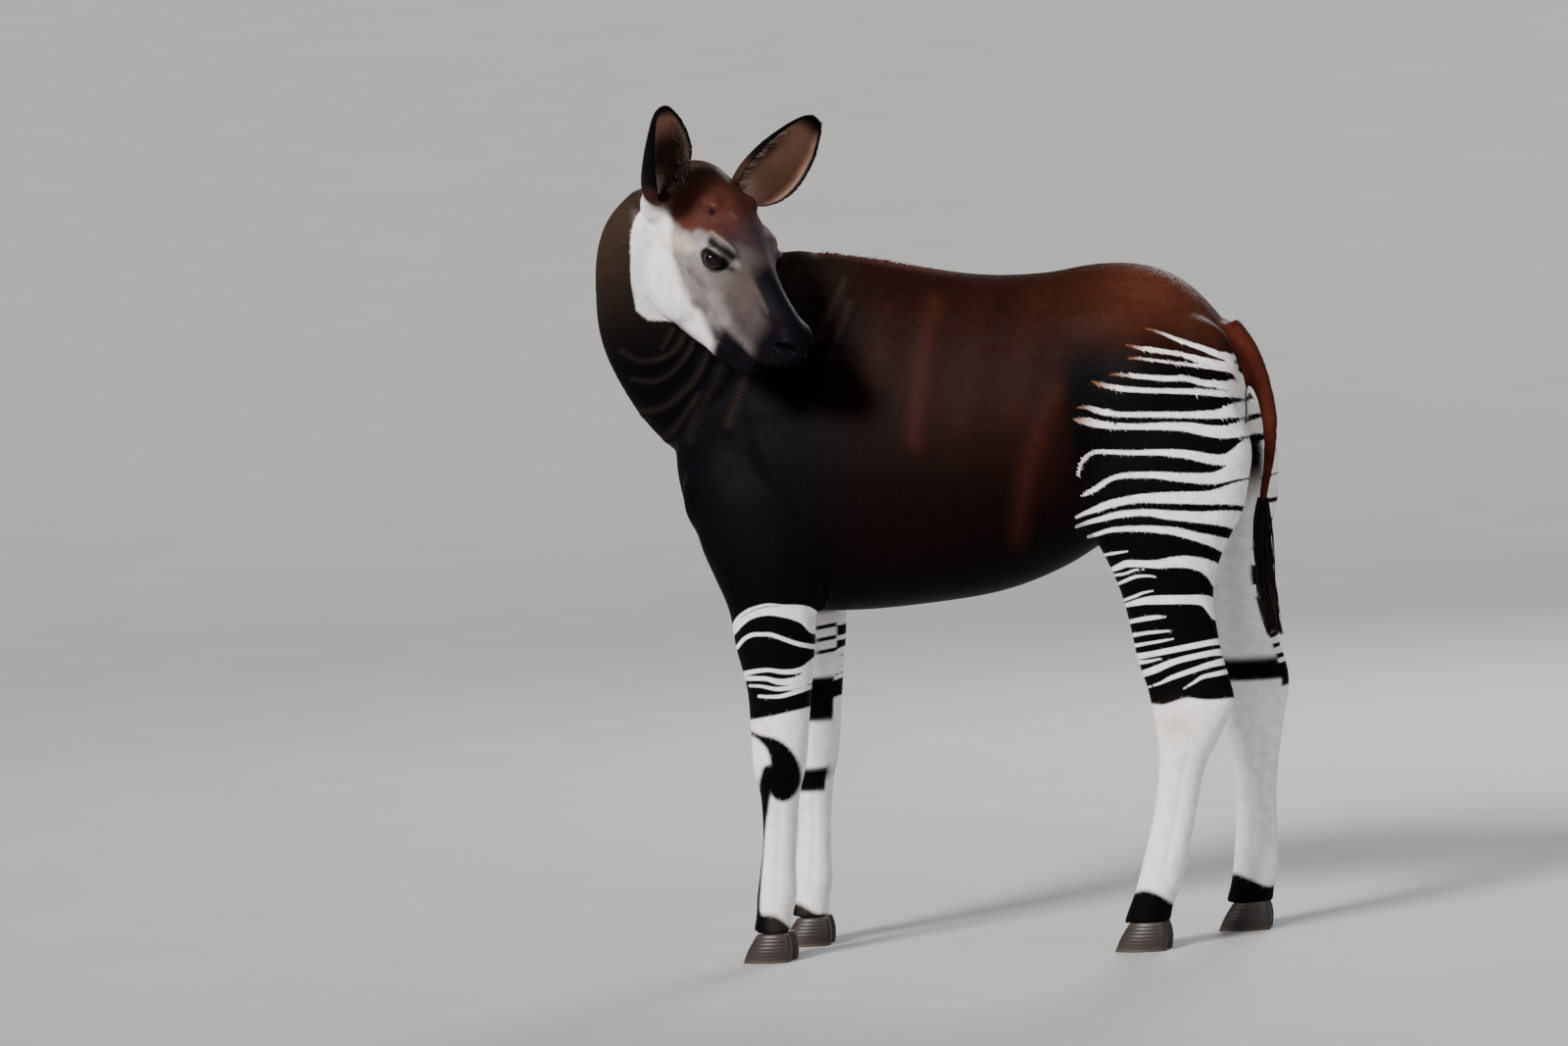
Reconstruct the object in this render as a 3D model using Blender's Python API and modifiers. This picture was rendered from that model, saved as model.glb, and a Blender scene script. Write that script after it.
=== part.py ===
"""Young okapi, life size, standing with its neck and head turned back over its left shoulder.

Metres, +Z up. The animal faces -X, its left side is -Y, and its hooves stand on z = 0.
The flesh is built from lofts and muscles, fused into one surface, and then parted by thin flat
cuts into named pieces. Eyes, ears, hooves and tail are added as their own pieces.
"""
import math

import bmesh
import bpy
import numpy as np
from mathutils import Matrix, Vector

# Driving sizes
WITHERS = 1.29
GAP = 0.0003
SEAT_GAP = 0.0008
HEAD_GAP = 0.0015
BODY_VOXEL = 0.0055
BODY_TRIANGLES = 4800
HEAD_VOXEL = 0.0035
HEAD_TRIANGLES = 3000
SECTION_SIDES = 28
SMOOTHING = 24
CORONET = 0.052
EYE_RADIUS = 0.0200
LID_THICKNESS = 0.0035
EYE_SIDES = 18
EAR_LENGTH = 0.225
EAR_WALL = 0.006
EAR_LIP = 0.002
EAR_SIDES = 26

# Trunk, from breast to rump: x, top, bottom, y of the middle, half width, how much narrower at the top
TRUNK = (
    (-0.584, 0.97, 0.89, -0.020, 0.030, 0.00),
    (-0.566, 1.03, 0.82, -0.020, 0.075, 0.05),
    (-0.532, 1.10, 0.742, -0.018, 0.108, 0.12),
    (-0.470, 1.21, 0.675, -0.012, 0.132, 0.24),
    (-0.380, 1.285, 0.642, -0.005, 0.150, 0.34),
    (-0.280, WITHERS, 0.632, 0.000, 0.165, 0.32),
    (-0.150, 1.265, 0.636, 0.008, 0.185, 0.24),
    (0.000, 1.235, 0.652, 0.012, 0.200, 0.16),
    (0.120, 1.230, 0.690, 0.012, 0.198, 0.12),
    (0.220, 1.240, 0.745, 0.008, 0.183, 0.12),
    (0.310, 1.232, 0.800, 0.004, 0.165, 0.14),
    (0.380, 1.198, 0.840, 0.000, 0.142, 0.14),
    (0.440, 1.130, 0.870, 0.000, 0.108, 0.10),
    (0.468, 1.070, 0.910, 0.000, 0.070, 0.05),
    (0.478, 1.020, 0.950, 0.000, 0.030, 0.00),
)

# Forelegs, from shoulder to coronet: z, front x, back x, y of the middle, half width
FORELEG = (
    (0.920, -0.520, -0.330, 0.110, 0.045),
    (0.860, -0.540, -0.290, 0.115, 0.058),
    (0.780, -0.530, -0.275, 0.120, 0.062),
    (0.720, -0.508, -0.292, 0.120, 0.062),
    (0.652, -0.483, -0.318, 0.118, 0.056),
    (0.580, -0.475, -0.327, 0.115, 0.050),
    (0.508, -0.461, -0.339, 0.112, 0.045),
    (0.435, -0.460, -0.350, 0.110, 0.041),
    (0.385, -0.461, -0.357, 0.108, 0.043),
    (0.345, -0.459, -0.366, 0.107, 0.042),
    (0.310, -0.451, -0.377, 0.106, 0.036),
    (0.235, -0.452, -0.389, 0.105, 0.029),
    (0.177, -0.461, -0.395, 0.104, 0.030),
    (0.120, -0.472, -0.398, 0.103, 0.035),
    (0.085, -0.476, -0.408, 0.103, 0.034),
    (0.055, -0.484, -0.410, 0.103, 0.038),
    (0.020, -0.492, -0.408, 0.103, 0.040),
)

# Hind legs, from hip to coronet, in the same columns. The right one stands further back.
HINDLEG_LEFT = (
    (1.060, 0.220, 0.400, 0.085, 0.060),
    (0.980, 0.185, 0.470, 0.092, 0.076),
    (0.900, 0.165, 0.500, 0.098, 0.082),
    (0.828, 0.160, 0.491, 0.104, 0.078),
    (0.778, 0.188, 0.478, 0.110, 0.072),
    (0.735, 0.213, 0.452, 0.115, 0.065),
    (0.690, 0.234, 0.430, 0.118, 0.057),
    (0.639, 0.252, 0.417, 0.120, 0.050),
    (0.582, 0.263, 0.419, 0.120, 0.043),
    (0.525, 0.272, 0.427, 0.120, 0.038),
    (0.470, 0.287, 0.440, 0.120, 0.037),
    (0.437, 0.292, 0.441, 0.120, 0.039),
    (0.383, 0.298, 0.414, 0.120, 0.038),
    (0.327, 0.298, 0.382, 0.119, 0.032),
    (0.242, 0.281, 0.359, 0.118, 0.028),
    (0.158, 0.256, 0.337, 0.117, 0.032),
    (0.110, 0.240, 0.322, 0.116, 0.036),
    (0.078, 0.226, 0.306, 0.116, 0.036),
    (0.050, 0.214, 0.300, 0.116, 0.039),
    (0.020, 0.204, 0.298, 0.116, 0.041),
)
HINDLEG_RIGHT = (
    (1.060, 0.225, 0.405, 0.085, 0.060),
    (0.980, 0.200, 0.475, 0.092, 0.076),
    (0.900, 0.200, 0.512, 0.098, 0.082),
    (0.844, 0.215, 0.512, 0.104, 0.078),
    (0.786, 0.255, 0.506, 0.110, 0.072),
    (0.729, 0.288, 0.486, 0.115, 0.065),
    (0.672, 0.316, 0.471, 0.118, 0.056),
    (0.645, 0.326, 0.466, 0.120, 0.051),
    (0.586, 0.345, 0.474, 0.120, 0.043),
    (0.528, 0.358, 0.489, 0.120, 0.038),
    (0.480, 0.367, 0.502, 0.120, 0.037),
    (0.440, 0.374, 0.502, 0.120, 0.039),
    (0.382, 0.380, 0.489, 0.120, 0.038),
    (0.324, 0.391, 0.477, 0.119, 0.032),
    (0.250, 0.392, 0.467, 0.118, 0.028),
    (0.158, 0.384, 0.464, 0.117, 0.032),
    (0.110, 0.377, 0.462, 0.116, 0.036),
    (0.078, 0.370, 0.452, 0.116, 0.036),
    (0.050, 0.360, 0.448, 0.116, 0.039),
    (0.020, 0.350, 0.446, 0.116, 0.041),
)

# Neck, from inside the breast to the back of the skull:
# x, y, z of the middle, the direction of the nape, half width, rise to the nape, drop to the throat
NECK = (
    (-0.300, 0.000, 1.030, 0.25, 0.00, 0.97, 0.125, 0.230, 0.190),
    (-0.410, -0.005, 1.065, 0.40, 0.00, 0.92, 0.120, 0.252, 0.205),
    (-0.510, -0.028, 1.120, 0.62, 0.00, 0.78, 0.107, 0.215, 0.182),
    (-0.580, -0.065, 1.190, 0.82, 0.10, 0.57, 0.093, 0.145, 0.134),
    (-0.602, -0.105, 1.262, 0.93, 0.10, 0.35, 0.084, 0.104, 0.095),
    (-0.587, -0.140, 1.333, 0.82, -0.05, 0.20, 0.080, 0.085, 0.082),
    (-0.540, -0.165, 1.383, 0.62, -0.15, 0.10, 0.070, 0.075, 0.070),
)

# Head. Its middle line starts at the back of the skull and runs to the lips.
HEAD_ROOT = Vector((-0.505, -0.151, 1.407))
HEAD_HEADING = -37.0
HEAD_PITCH = 45.5
HEAD_ROLL = -5.0
# Skull and upper jaw: along, top, bottom, half width, how much narrower at the top
SKULL = (
    (-0.045, 0.040, -0.040, 0.030, 0.00),
    (-0.028, 0.074, -0.065, 0.058, 0.05),
    (0.015, 0.098, -0.085, 0.075, 0.12),
    (0.065, 0.104, -0.090, 0.084, 0.14),
    (0.115, 0.102, -0.090, 0.086, 0.14),
    (0.160, 0.096, -0.088, 0.085, 0.12),
    (0.205, 0.084, -0.086, 0.074, 0.15),
    (0.250, 0.072, -0.084, 0.058, 0.18),
    (0.300, 0.063, -0.078, 0.045, 0.18),
    (0.340, 0.059, -0.066, 0.038, 0.10),
    (0.376, 0.056, -0.052, 0.036, 0.05),
    (0.406, 0.047, -0.034, 0.031, 0.00),
    (0.424, 0.030, -0.010, 0.018, 0.00),
)
# Lower jaw in the same columns
JAW = (
    (0.000, -0.030, -0.104, 0.040, 0.00),
    (0.030, -0.020, -0.142, 0.058, 0.00),
    (0.080, -0.020, -0.162, 0.066, 0.05),
    (0.135, -0.030, -0.165, 0.064, 0.10),
    (0.190, -0.050, -0.158, 0.053, 0.15),
    (0.240, -0.065, -0.142, 0.041, 0.12),
    (0.285, -0.066, -0.124, 0.037, 0.08),
    (0.320, -0.060, -0.115, 0.034, 0.00),
    (0.344, -0.056, -0.104, 0.029, 0.00),
    (0.362, -0.056, -0.086, 0.018, 0.00),
)
# Forms of the head, in its own axes: name, middle, radii, turn. Each is made on both sides.
HEAD_MUSCLES = (
    ("cheek", (0.120, 0.048, -0.070), (0.095, 0.036, 0.085), (0, 12, 0)),
    ("cheek_front", (0.230, 0.030, -0.066), (0.100, 0.025, 0.056), (0, 12, 0)),
    ("gland", (0.000, 0.046, -0.060), (0.056, 0.042, 0.085), (0, 0, 0)),
    ("throat_patch", (0.045, 0.034, -0.140), (0.085, 0.034, 0.034), (0, 54, 0)),
    ("brow", (0.182, 0.046, 0.061), (0.046, 0.022, 0.015), (0, 12, -8)),
    ("cheekbone", (0.215, 0.050, -0.010), (0.070, 0.015, 0.014), (0, 8, -14)),
    ("horn_bud", (0.100, 0.040, 0.077), (0.030, 0.024, 0.017), (0, 0, 0)),
    ("ear_butt", (0.018, 0.074, 0.006), (0.038, 0.034, 0.038), (0, 0, 0)),
    ("nostril_wing", (0.384, 0.017, 0.020), (0.034, 0.019, 0.032), (0, 10, 0)),
    ("lip", (0.345, 0.016, -0.046), (0.055, 0.022, 0.018), (0, -14, -4)),
    ("chin", (0.315, 0.010, -0.096), (0.050, 0.022, 0.020), (0, -8, 0)),
)
EYE = (0.193, 0.067, 0.033)
# The lids' opening: along the face and up it, how pointed its corners are, and its tilt along the face
EYE_OPENING = (0.0190, 0.0140)
EYE_CORNERS = 0.35
EYE_TILT = -0.12
# The cutter of the opening: depth from the eye's middle, and its share of the opening's size
EYE_CUTTER = ((0.0, 0.9), (0.05, 1.25))
EYE_CUTTER_SIDES = 16
# How far the cutter leans forward and up for each metre of depth
EYE_CUTTER_LEAN = (0.25, 0.10)
NOSTRIL = (0.404, 0.028, 0.032)
NOSTRIL_RADII = (0.015, 0.010, 0.0085)
NOSTRIL_TURN = (35, 20)
MOUTH_LINE = ((0.286, 0.052, -0.081), (0.330, 0.046, -0.068), (0.365, 0.040, -0.055), (0.400, 0.034, -0.036))
# The groove of the mouth: how deep it goes in, how far its base stands out, half its height there
MOUTH_GROOVE = (0.014, 0.010, 0.0022)
# Ears: where each stands, the way it points and the way its cup opens, in the head's axes
EARS = (
    ("ear_left", (0.018, 0.090, 0.012), (0.03, 0.42, 0.91), (0.92, -0.36, 0.16)),
    ("ear_right", (0.020, -0.088, 0.008), (-0.03, -0.354, 0.935), (0.90, 0.40, 0.18)),
)
# Ear from root to tip: share of its length, radius of the cup, how far round it goes in degrees,
# depth of the cup as a share of the radius, bend away from the opening
EAR_ROWS = (
    (0.00, 0.024, 300, 0.02, 0.000),
    (0.10, 0.028, 285, 0.30, -0.003),
    (0.20, 0.042, 240, 0.80, -0.014),
    (0.32, 0.054, 205, 1.00, -0.024),
    (0.46, 0.059, 182, 1.00, -0.028),
    (0.60, 0.058, 165, 1.00, -0.026),
    (0.75, 0.051, 150, 1.00, -0.019),
    (0.87, 0.040, 135, 1.00, -0.008),
    (0.95, 0.029, 125, 1.00, 0.001),
    (1.00, 0.016, 120, 1.00, 0.008),
)

# Tail: x, y, z and radius from root to the start of the tuft, then the tuft's core
TAIL = (
    (0.452, 0.000, 1.112, 0.026),
    (0.486, 0.000, 1.064, 0.023),
    (0.509, 0.000, 1.000, 0.019),
    (0.519, 0.000, 0.930, 0.016),
    (0.512, 0.000, 0.860, 0.013),
    (0.498, 0.000, 0.800, 0.012),
)
TUFT_CORE = (
    (0.498, 0.000, 0.800, 0.012),
    (0.494, 0.000, 0.750, 0.015),
    (0.492, 0.000, 0.690, 0.015),
    (0.494, 0.000, 0.630, 0.010),
    (0.496, 0.000, 0.585, 0.004),
)
# Locks of the tuft: number, height of the first root, how far down the roots go, shortest and longest
TUFT_LOCKS = 12
TUFT_ROOTS = (0.77, 0.11)
TUFT_LENGTHS = (0.13, 0.19)
TUFT_MIDDLE_X = 0.493
# A lock's distance from the middle at its root, its swing outwards, and its random part at the tip
TUFT_REACH = (0.006, 0.012, 0.006)
# Half width and half thickness of a lock: at the root over and above the tip, then at the tip
LOCK_WIDE = (0.009, 0.0012)
LOCK_THICK = (0.0035, 0.0010)
LOCK_RINGS = 6
GOLDEN = 0.618

# Claws, in a hoof's own axes: height, toe, heel, half width, and where the middle lies from the cleft
CLAW = (
    (0.000, -0.052, 0.040, 0.0185, 0.0210),
    (0.020, -0.043, 0.043, 0.0190, 0.0208),
    (0.038, -0.032, 0.042, 0.0180, 0.0198),
    (CORONET - GAP, -0.022, 0.038, 0.0168, 0.0186),
)
CLEFT = 0.0025
CLAW_SIDES = 16
CLAW_PINCH = 0.30
CLAW_SQUARENESS = 0.8
# Hooves: name, x and y of the middle, length, turn in degrees
HOOVES = (
    ("fore_left", -0.450, -0.103, 1.00, -3),
    ("fore_right", -0.430, 0.103, 1.00, 3),
    ("hind_left", 0.253, -0.116, 1.04, -4),
    ("hind_right", 0.400, 0.116, 1.04, 4),
)

# Cuts that part the flesh: point, normal, and half sizes of the cut
CUTS = (
    ((-0.590, -0.030, 1.195), (-0.75, -0.25, 0.61), (0.190, 0.140)),
    ((-0.530, -0.010, 1.130), (-0.80, -0.14, 0.58), (0.260, 0.200)),
    ((-0.460, 0.000, 1.090), (-0.755, 0.00, 0.655), (0.320, 0.260)),
    ((-0.400, -0.125, 0.640), (0.0, 0.0, 1.0), (0.150, 0.115)),
    ((-0.400, 0.125, 0.640), (0.0, 0.0, 1.0), (0.150, 0.115)),
    ((0.330, -0.125, 0.720), (0.0, 0.0, 1.0), (0.200, 0.115)),
    ((0.360, 0.125, 0.720), (0.0, 0.0, 1.0), (0.200, 0.115)),
    ((-0.405, -0.108, 0.300), (0.0, 0.0, 1.0), (0.100, 0.080)),
    ((-0.395, 0.108, 0.300), (0.0, 0.0, 1.0), (0.100, 0.080)),
    ((0.350, -0.120, 0.380), (0.0, 0.0, 1.0), (0.120, 0.080)),
    ((0.430, 0.120, 0.380), (0.0, 0.0, 1.0), (0.120, 0.080)),
)
# A point inside each piece of flesh
ANCHORS = (
    ("neck_upper", (-0.59, -0.10, 1.30)),
    ("neck_middle", (-0.57, -0.04, 1.16)),
    ("neck_lower", (-0.50, -0.02, 1.11)),
    ("torso", (0.0, 0.0, 0.95)),
    ("foreleg_left_upper", (-0.40, -0.11, 0.48)),
    ("foreleg_right_upper", (-0.39, 0.11, 0.48)),
    ("foreleg_left_lower", (-0.43, -0.105, 0.18)),
    ("foreleg_right_lower", (-0.41, 0.105, 0.18)),
    ("hindleg_left_upper", (0.34, -0.12, 0.60)),
    ("hindleg_right_upper", (0.40, 0.12, 0.60)),
    ("hindleg_left_lower", (0.32, -0.118, 0.22)),
    ("hindleg_right_lower", (0.43, 0.118, 0.22)),
)

# Materials: name, colour, roughness
COLOURS = {
    "hair_brown": ((0.045, 0.022, 0.016), 0.55),
    "hair_grey": ((0.16, 0.11, 0.09), 0.6),
    "hair_black": ((0.012, 0.010, 0.011), 0.5),
    "hair_white": ((0.62, 0.58, 0.53), 0.65),
    "horn": ((0.07, 0.055, 0.045), 0.45),
    "eye": ((0.012, 0.008, 0.006), 0.08),
}

# Muscles: name, middle, radii, turn about x, y and z in degrees. Each is made on both sides.
MUSCLES = (
    ("shoulder_blade", (-0.345, 0.088, 1.040), (0.090, 0.050, 0.200), (10, -18, 0)),
    ("upper_arm", (-0.455, 0.108, 0.870), (0.100, 0.055, 0.110), (0, 40, 0)),
    ("triceps", (-0.345, 0.118, 0.860), (0.095, 0.052, 0.165), (0, -20, 0)),
    ("elbow", (-0.318, 0.118, 0.690), (0.026, 0.026, 0.050), (0, -10, 0)),
    ("hip", (0.265, 0.066, 1.075), (0.160, 0.080, 0.110), (14, 15, 0)),
    ("rump", (0.372, 0.060, 1.015), (0.100, 0.062, 0.130), (12, 30, 0)),
    ("thigh", (0.290, 0.108, 0.930), (0.135, 0.068, 0.180), (5, 10, 0)),
    ("hamstring", (0.405, 0.082, 0.890), (0.080, 0.056, 0.150), (0, -6, 0)),
)


def smooth_rows(rows, per_span):
    """The rows of a table with more between them, on a smooth curve through each column."""
    table = np.array(rows, float)
    last = len(table) - 1
    made = []
    for i in range(last):
        before, start = table[max(i - 1, 0)], table[i]
        end, after = table[i + 1], table[min(i + 2, last)]
        for step in range(per_span):
            t = step / per_span
            made.append(
                0.5 * (
                    2 * start
                    + (end - before) * t
                    + (2 * before - 5 * start + 4 * end - after) * t**2
                    + (3 * start - before - 3 * end + after) * t**3
                )
            )
    made.append(table[last])
    return np.array(made)


def section(middle, side, up, half_side, rise, drop, narrow=0.0, sides=SECTION_SIDES):
    """A closed ring of points: an oval with its own height above and below the middle."""
    turn = np.linspace(0, 2 * math.pi, sides, endpoint=False)
    across, along = np.cos(turn), np.sin(turn)
    wide = half_side * across * (1 - narrow * along)
    high = np.where(along > 0, rise, drop) * along
    return np.array(middle) + np.outer(wide, np.array(side)) + np.outer(high, np.array(up))


def loft(name, rings):
    """A closed mesh through the rings, with a fan over each end."""
    points = np.concatenate(rings)
    count, sides = len(rings), len(rings[0])
    faces = []
    for r in range(count - 1):
        here, there = r * sides, (r + 1) * sides
        for k in range(sides):
            after = (k + 1) % sides
            faces.append((here + k, here + after, there + after, there + k))
    first, second = len(points), len(points) + 1
    points = np.concatenate([points, [rings[0].mean(0), rings[-1].mean(0)]])
    faces += [(first, (k + 1) % sides, k) for k in range(sides)]
    end = (count - 1) * sides
    faces += [(second, end + k, end + (k + 1) % sides) for k in range(sides)]
    return mesh_object(name, points, faces)


def mesh_object(name, points, faces):
    mesh = bpy.data.meshes.new(name)
    mesh.from_pydata([tuple(p) for p in points], [], faces)
    obj = bpy.data.objects.new(name, mesh)
    bpy.context.scene.collection.objects.link(obj)
    work = bmesh.new()
    work.from_mesh(mesh)
    bmesh.ops.recalc_face_normals(work, faces=work.faces)
    work.to_mesh(mesh)
    work.free()
    return obj


def ball(name, middle, radii, turn=(0, 0, 0), segments=24):
    """An ellipsoid."""
    mesh = bpy.data.meshes.new(name)
    work = bmesh.new()
    bmesh.ops.create_uvsphere(work, u_segments=segments, v_segments=segments // 2, radius=1.0)
    rotate = Matrix.Rotation(math.radians(turn[2]), 4, "Z") @ Matrix.Rotation(
        math.radians(turn[1]), 4, "Y") @ Matrix.Rotation(math.radians(turn[0]), 4, "X")
    place = Matrix.Translation(middle) @ rotate @ Matrix.Diagonal((*radii, 1.0))
    bmesh.ops.transform(work, matrix=place, verts=work.verts)
    work.to_mesh(mesh)
    work.free()
    obj = bpy.data.objects.new(name, mesh)
    bpy.context.scene.collection.objects.link(obj)
    return obj


def upright_ring(x, y, top, bottom, half, narrow):
    """A section across X that stands between two heights."""
    high = (top - bottom) / 2
    return section((x, y, bottom + high), (0, 1, 0), (0, 0, 1), half, high, high, narrow)


def trunk():
    rings = [
        upright_ring(x, y, top, bottom, half, narrow)
        for x, top, bottom, y, half, narrow in smooth_rows(TRUNK, 4)
    ]
    return loft("trunk_form", rings)


def leg(name, rows, side, back_step=0.0):
    rings = []
    table = smooth_rows(rows, 3)
    for z, front, back, y, half in table[table[:, 0] >= CORONET - 0.001]:
        shift = back_step * max(0.0, 1 - z / 0.6)
        middle = ((front + back) / 2 + shift, side * y, z)
        reach = (back - front) / 2
        rings.append(section(middle, (0, side, 0), (-1, 0, 0), half, reach, reach))
    return loft(name, rings)


def curve_rings(rows, per_span=2, sides=14):
    """Round sections that follow a curve of x, y, z and radius."""
    table = smooth_rows(rows, per_span)
    ways = np.gradient(table[:, :3], axis=0)
    rings = []
    for row, way in zip(table, ways):
        way = way / np.linalg.norm(way)
        up = np.array((1.0, 0, 0)) - way * way[0]
        up /= np.linalg.norm(up)
        rings.append(section(row[:3], np.cross(up, way), up, row[3], row[3], row[3], sides=sides))
    return rings


def tail_rings(room=0.0):
    """The rings of the tail down to the tuft, and those of the tuft's core."""
    rows = [(x, y, z, radius + room) for x, y, z, radius in TAIL + TUFT_CORE[1:]]
    rings = curve_rings(rows)
    last = 2 * (len(TAIL) - 1)
    return rings[:last + 1], rings[last:]


def neck():
    rows = smooth_rows(NECK, 5)
    ways = np.gradient(rows[:, :3], axis=0)
    rings = []
    for row, way in zip(rows, ways):
        way = way / np.linalg.norm(way)
        nape = row[3:6] - way * (row[3:6] @ way)
        nape /= np.linalg.norm(nape)
        side = np.cross(nape, way)
        rings.append(section(row[:3], side, nape, row[6], row[7], row[8]))
    return loft("neck_form", rings)


def head_matrix():
    """Places the head's own axes: +X to the lips, +Y to its left, +Z to the forehead."""
    turn = (
        Matrix.Rotation(math.radians(HEAD_HEADING), 4, "Z")
        @ Matrix.Rotation(math.radians(HEAD_PITCH), 4, "Y")
        @ Matrix.Rotation(math.radians(HEAD_ROLL), 4, "X")
    )
    return Matrix.Translation(HEAD_ROOT) @ turn


def head_forms():
    made = []
    for name, rows in (("skull_form", SKULL), ("jaw_form", JAW)):
        rings = [
            upright_ring(x, 0, top, bottom, half, narrow)
            for x, top, bottom, half, narrow in smooth_rows(rows, 4)
        ]
        made.append(loft(name, rings))
    for name, (x, y, z), radii, (a, b, c) in HEAD_MUSCLES:
        for side in (-1, 1):
            made.append(ball(f"{name}_form", (x, side * y, z), radii, (-side * a, b, side * c)))
    for side in (-1, 1):
        middle = (EYE[0], side * EYE[1], EYE[2])
        made.append(ball("lids_form", middle, (EYE_RADIUS + LID_THICKNESS,) * 3))
    for obj in made:
        obj.data.transform(head_matrix())
    return made


def body_forms():
    made = [trunk(), neck()]
    made.append(leg("foreleg_left_form", FORELEG, -1))
    made.append(leg("foreleg_right_form", FORELEG, 1, 0.02))
    made.append(leg("hindleg_left_form", HINDLEG_LEFT, -1))
    made.append(leg("hindleg_right_form", HINDLEG_RIGHT, 1))
    for name, middle, radii, turn in MUSCLES:
        for side in (-1, 1):
            x, y, z = middle
            a, b, c = turn
            made.append(ball(f"{name}_form", (x, side * y, z), radii, (side * a * -1, b, side * c)))
    return made


def joined(name, objects):
    work = bmesh.new()
    for obj in objects:
        work.from_mesh(obj.data)
    mesh = bpy.data.meshes.new(name)
    work.to_mesh(mesh)
    work.free()
    for obj in objects:
        bpy.data.objects.remove(obj)
    obj = bpy.data.objects.new(name, mesh)
    bpy.context.scene.collection.objects.link(obj)
    return obj


def applied(obj):
    """Replaces an object's mesh by what its modifiers make of it."""
    graph = bpy.context.evaluated_depsgraph_get()
    mesh = bpy.data.meshes.new_from_object(obj.evaluated_get(graph))
    obj.modifiers.clear()
    obj.data = mesh
    return obj


def combined(obj, others, operation, solver="EXACT"):
    """One Boolean of an object with a set of others, which are used up."""
    group = bpy.data.collections.new("operands")
    for other in others:
        group.objects.link(other)
    step = obj.modifiers.new("combine", "BOOLEAN")
    step.operation = operation
    step.operand_type = "COLLECTION"
    step.collection = group
    step.solver = solver
    applied(obj)
    for other in others:
        bpy.data.objects.remove(other)
    bpy.data.collections.remove(group)
    return obj


def box(name, point, normal, half_sizes, thick):
    """A flat box about a point, square to a normal; its length lies along the normal's slope."""
    normal = Vector(normal).normalized()
    level = Vector((0, 1, 0)) if abs(normal.y) < 0.9 else Vector((1, 0, 0))
    across = (level - normal * level.dot(normal)).normalized()
    slope = across.cross(normal)
    mesh = bpy.data.meshes.new(name)
    work = bmesh.new()
    bmesh.ops.create_cube(work, size=2.0)
    turn = Matrix((slope, across, normal)).transposed().to_4x4()
    place = Matrix.Translation(point) @ turn @ Matrix.Diagonal((*half_sizes, thick / 2, 1.0))
    bmesh.ops.transform(work, matrix=place, verts=work.verts)
    bmesh.ops.recalc_face_normals(work, faces=work.faces)
    work.to_mesh(mesh)
    work.free()
    obj = bpy.data.objects.new(name, mesh)
    bpy.context.scene.collection.objects.link(obj)
    return obj


def fused(name, objects, voxel, triangles, softness):
    """One closed surface round all of some forms. Softness gives the smoothing at each point."""
    flesh = joined(name, objects)
    remesh = flesh.modifiers.new("fuse", "REMESH")
    remesh.mode = "VOXEL"
    remesh.voxel_size = voxel
    applied(flesh)
    points = np.array([v.co for v in flesh.data.vertices])
    soft = flesh.vertex_groups.new(name="soft")
    for index, weight in enumerate(softness(points)):
        soft.add([index], float(weight), "REPLACE")
    smooth = flesh.modifiers.new("soften", "SMOOTH")
    smooth.factor = 0.5
    smooth.iterations = SMOOTHING
    smooth.vertex_group = "soft"
    applied(flesh)
    thin = flesh.modifiers.new("thin", "DECIMATE")
    thin.ratio = triangles / sum(len(p.vertices) - 2 for p in flesh.data.polygons)
    applied(flesh)
    flesh.vertex_groups.clear()
    return largest(flesh)


def grown(obj, distance):
    """A copy of an object, a little larger all round."""
    copy = bpy.data.objects.new(obj.name + "_room", obj.data.copy())
    bpy.context.scene.collection.objects.link(copy)
    work = bmesh.new()
    work.from_mesh(copy.data)
    work.normal_update()
    moves = [vert.normal * distance * min(vert.calc_shell_factor(), 2.5) for vert in work.verts]
    for vert, move in zip(work.verts, moves):
        vert.co += move
    work.to_mesh(copy.data)
    work.free()
    return copy


def placed(obj, matrix):
    obj.data.transform(matrix)
    return obj


def eye_cutters(side):
    """The eye's socket, and the pointed opening between the lids."""
    head = head_matrix()
    middle = Vector((EYE[0], side * EYE[1], EYE[2]))
    socket = ball("socket", middle, (EYE_RADIUS + GAP,) * 3, segments=EYE_SIDES)
    wide, high = EYE_OPENING
    forward, up = EYE_CUTTER_LEAN
    turn = np.linspace(0, 2 * math.pi, EYE_CUTTER_SIDES, endpoint=False)
    across = wide * np.cos(turn)
    along = high * np.sin(turn) * (1 - EYE_CORNERS * np.cos(turn) ** 2)
    rings = []
    for depth, spread in EYE_CUTTER:
        rings.append(np.stack([
            middle.x + across * spread + forward * depth,
            np.full(EYE_CUTTER_SIDES, middle.y + side * depth),
            middle.z + along * spread + up * depth + EYE_TILT * across,
        ], axis=1))
    opening = loft("opening", rings)
    return [placed(socket, head), placed(opening, head)]


def face_cutters():
    head = head_matrix()
    made = []
    deep, stand, half = MOUTH_GROOVE
    for side in (-1, 1):
        made += eye_cutters(side)
        x, y, z = NOSTRIL
        turn = (0, NOSTRIL_TURN[0], side * NOSTRIL_TURN[1])
        made.append(placed(ball("nostril", (x, side * y, z), NOSTRIL_RADII, turn, EYE_CUTTER_SIDES), head))
        rings = []
        for x, y, z in smooth_rows([(x, side * y, z) for x, y, z in MOUTH_LINE], 3):
            outside = y + side * stand
            rings.append(np.array([(x, y - side * deep, z), (x, outside, z + half), (x, outside, z - half)]))
        made.append(placed(loft("mouth", rings), head))
    return made


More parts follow.
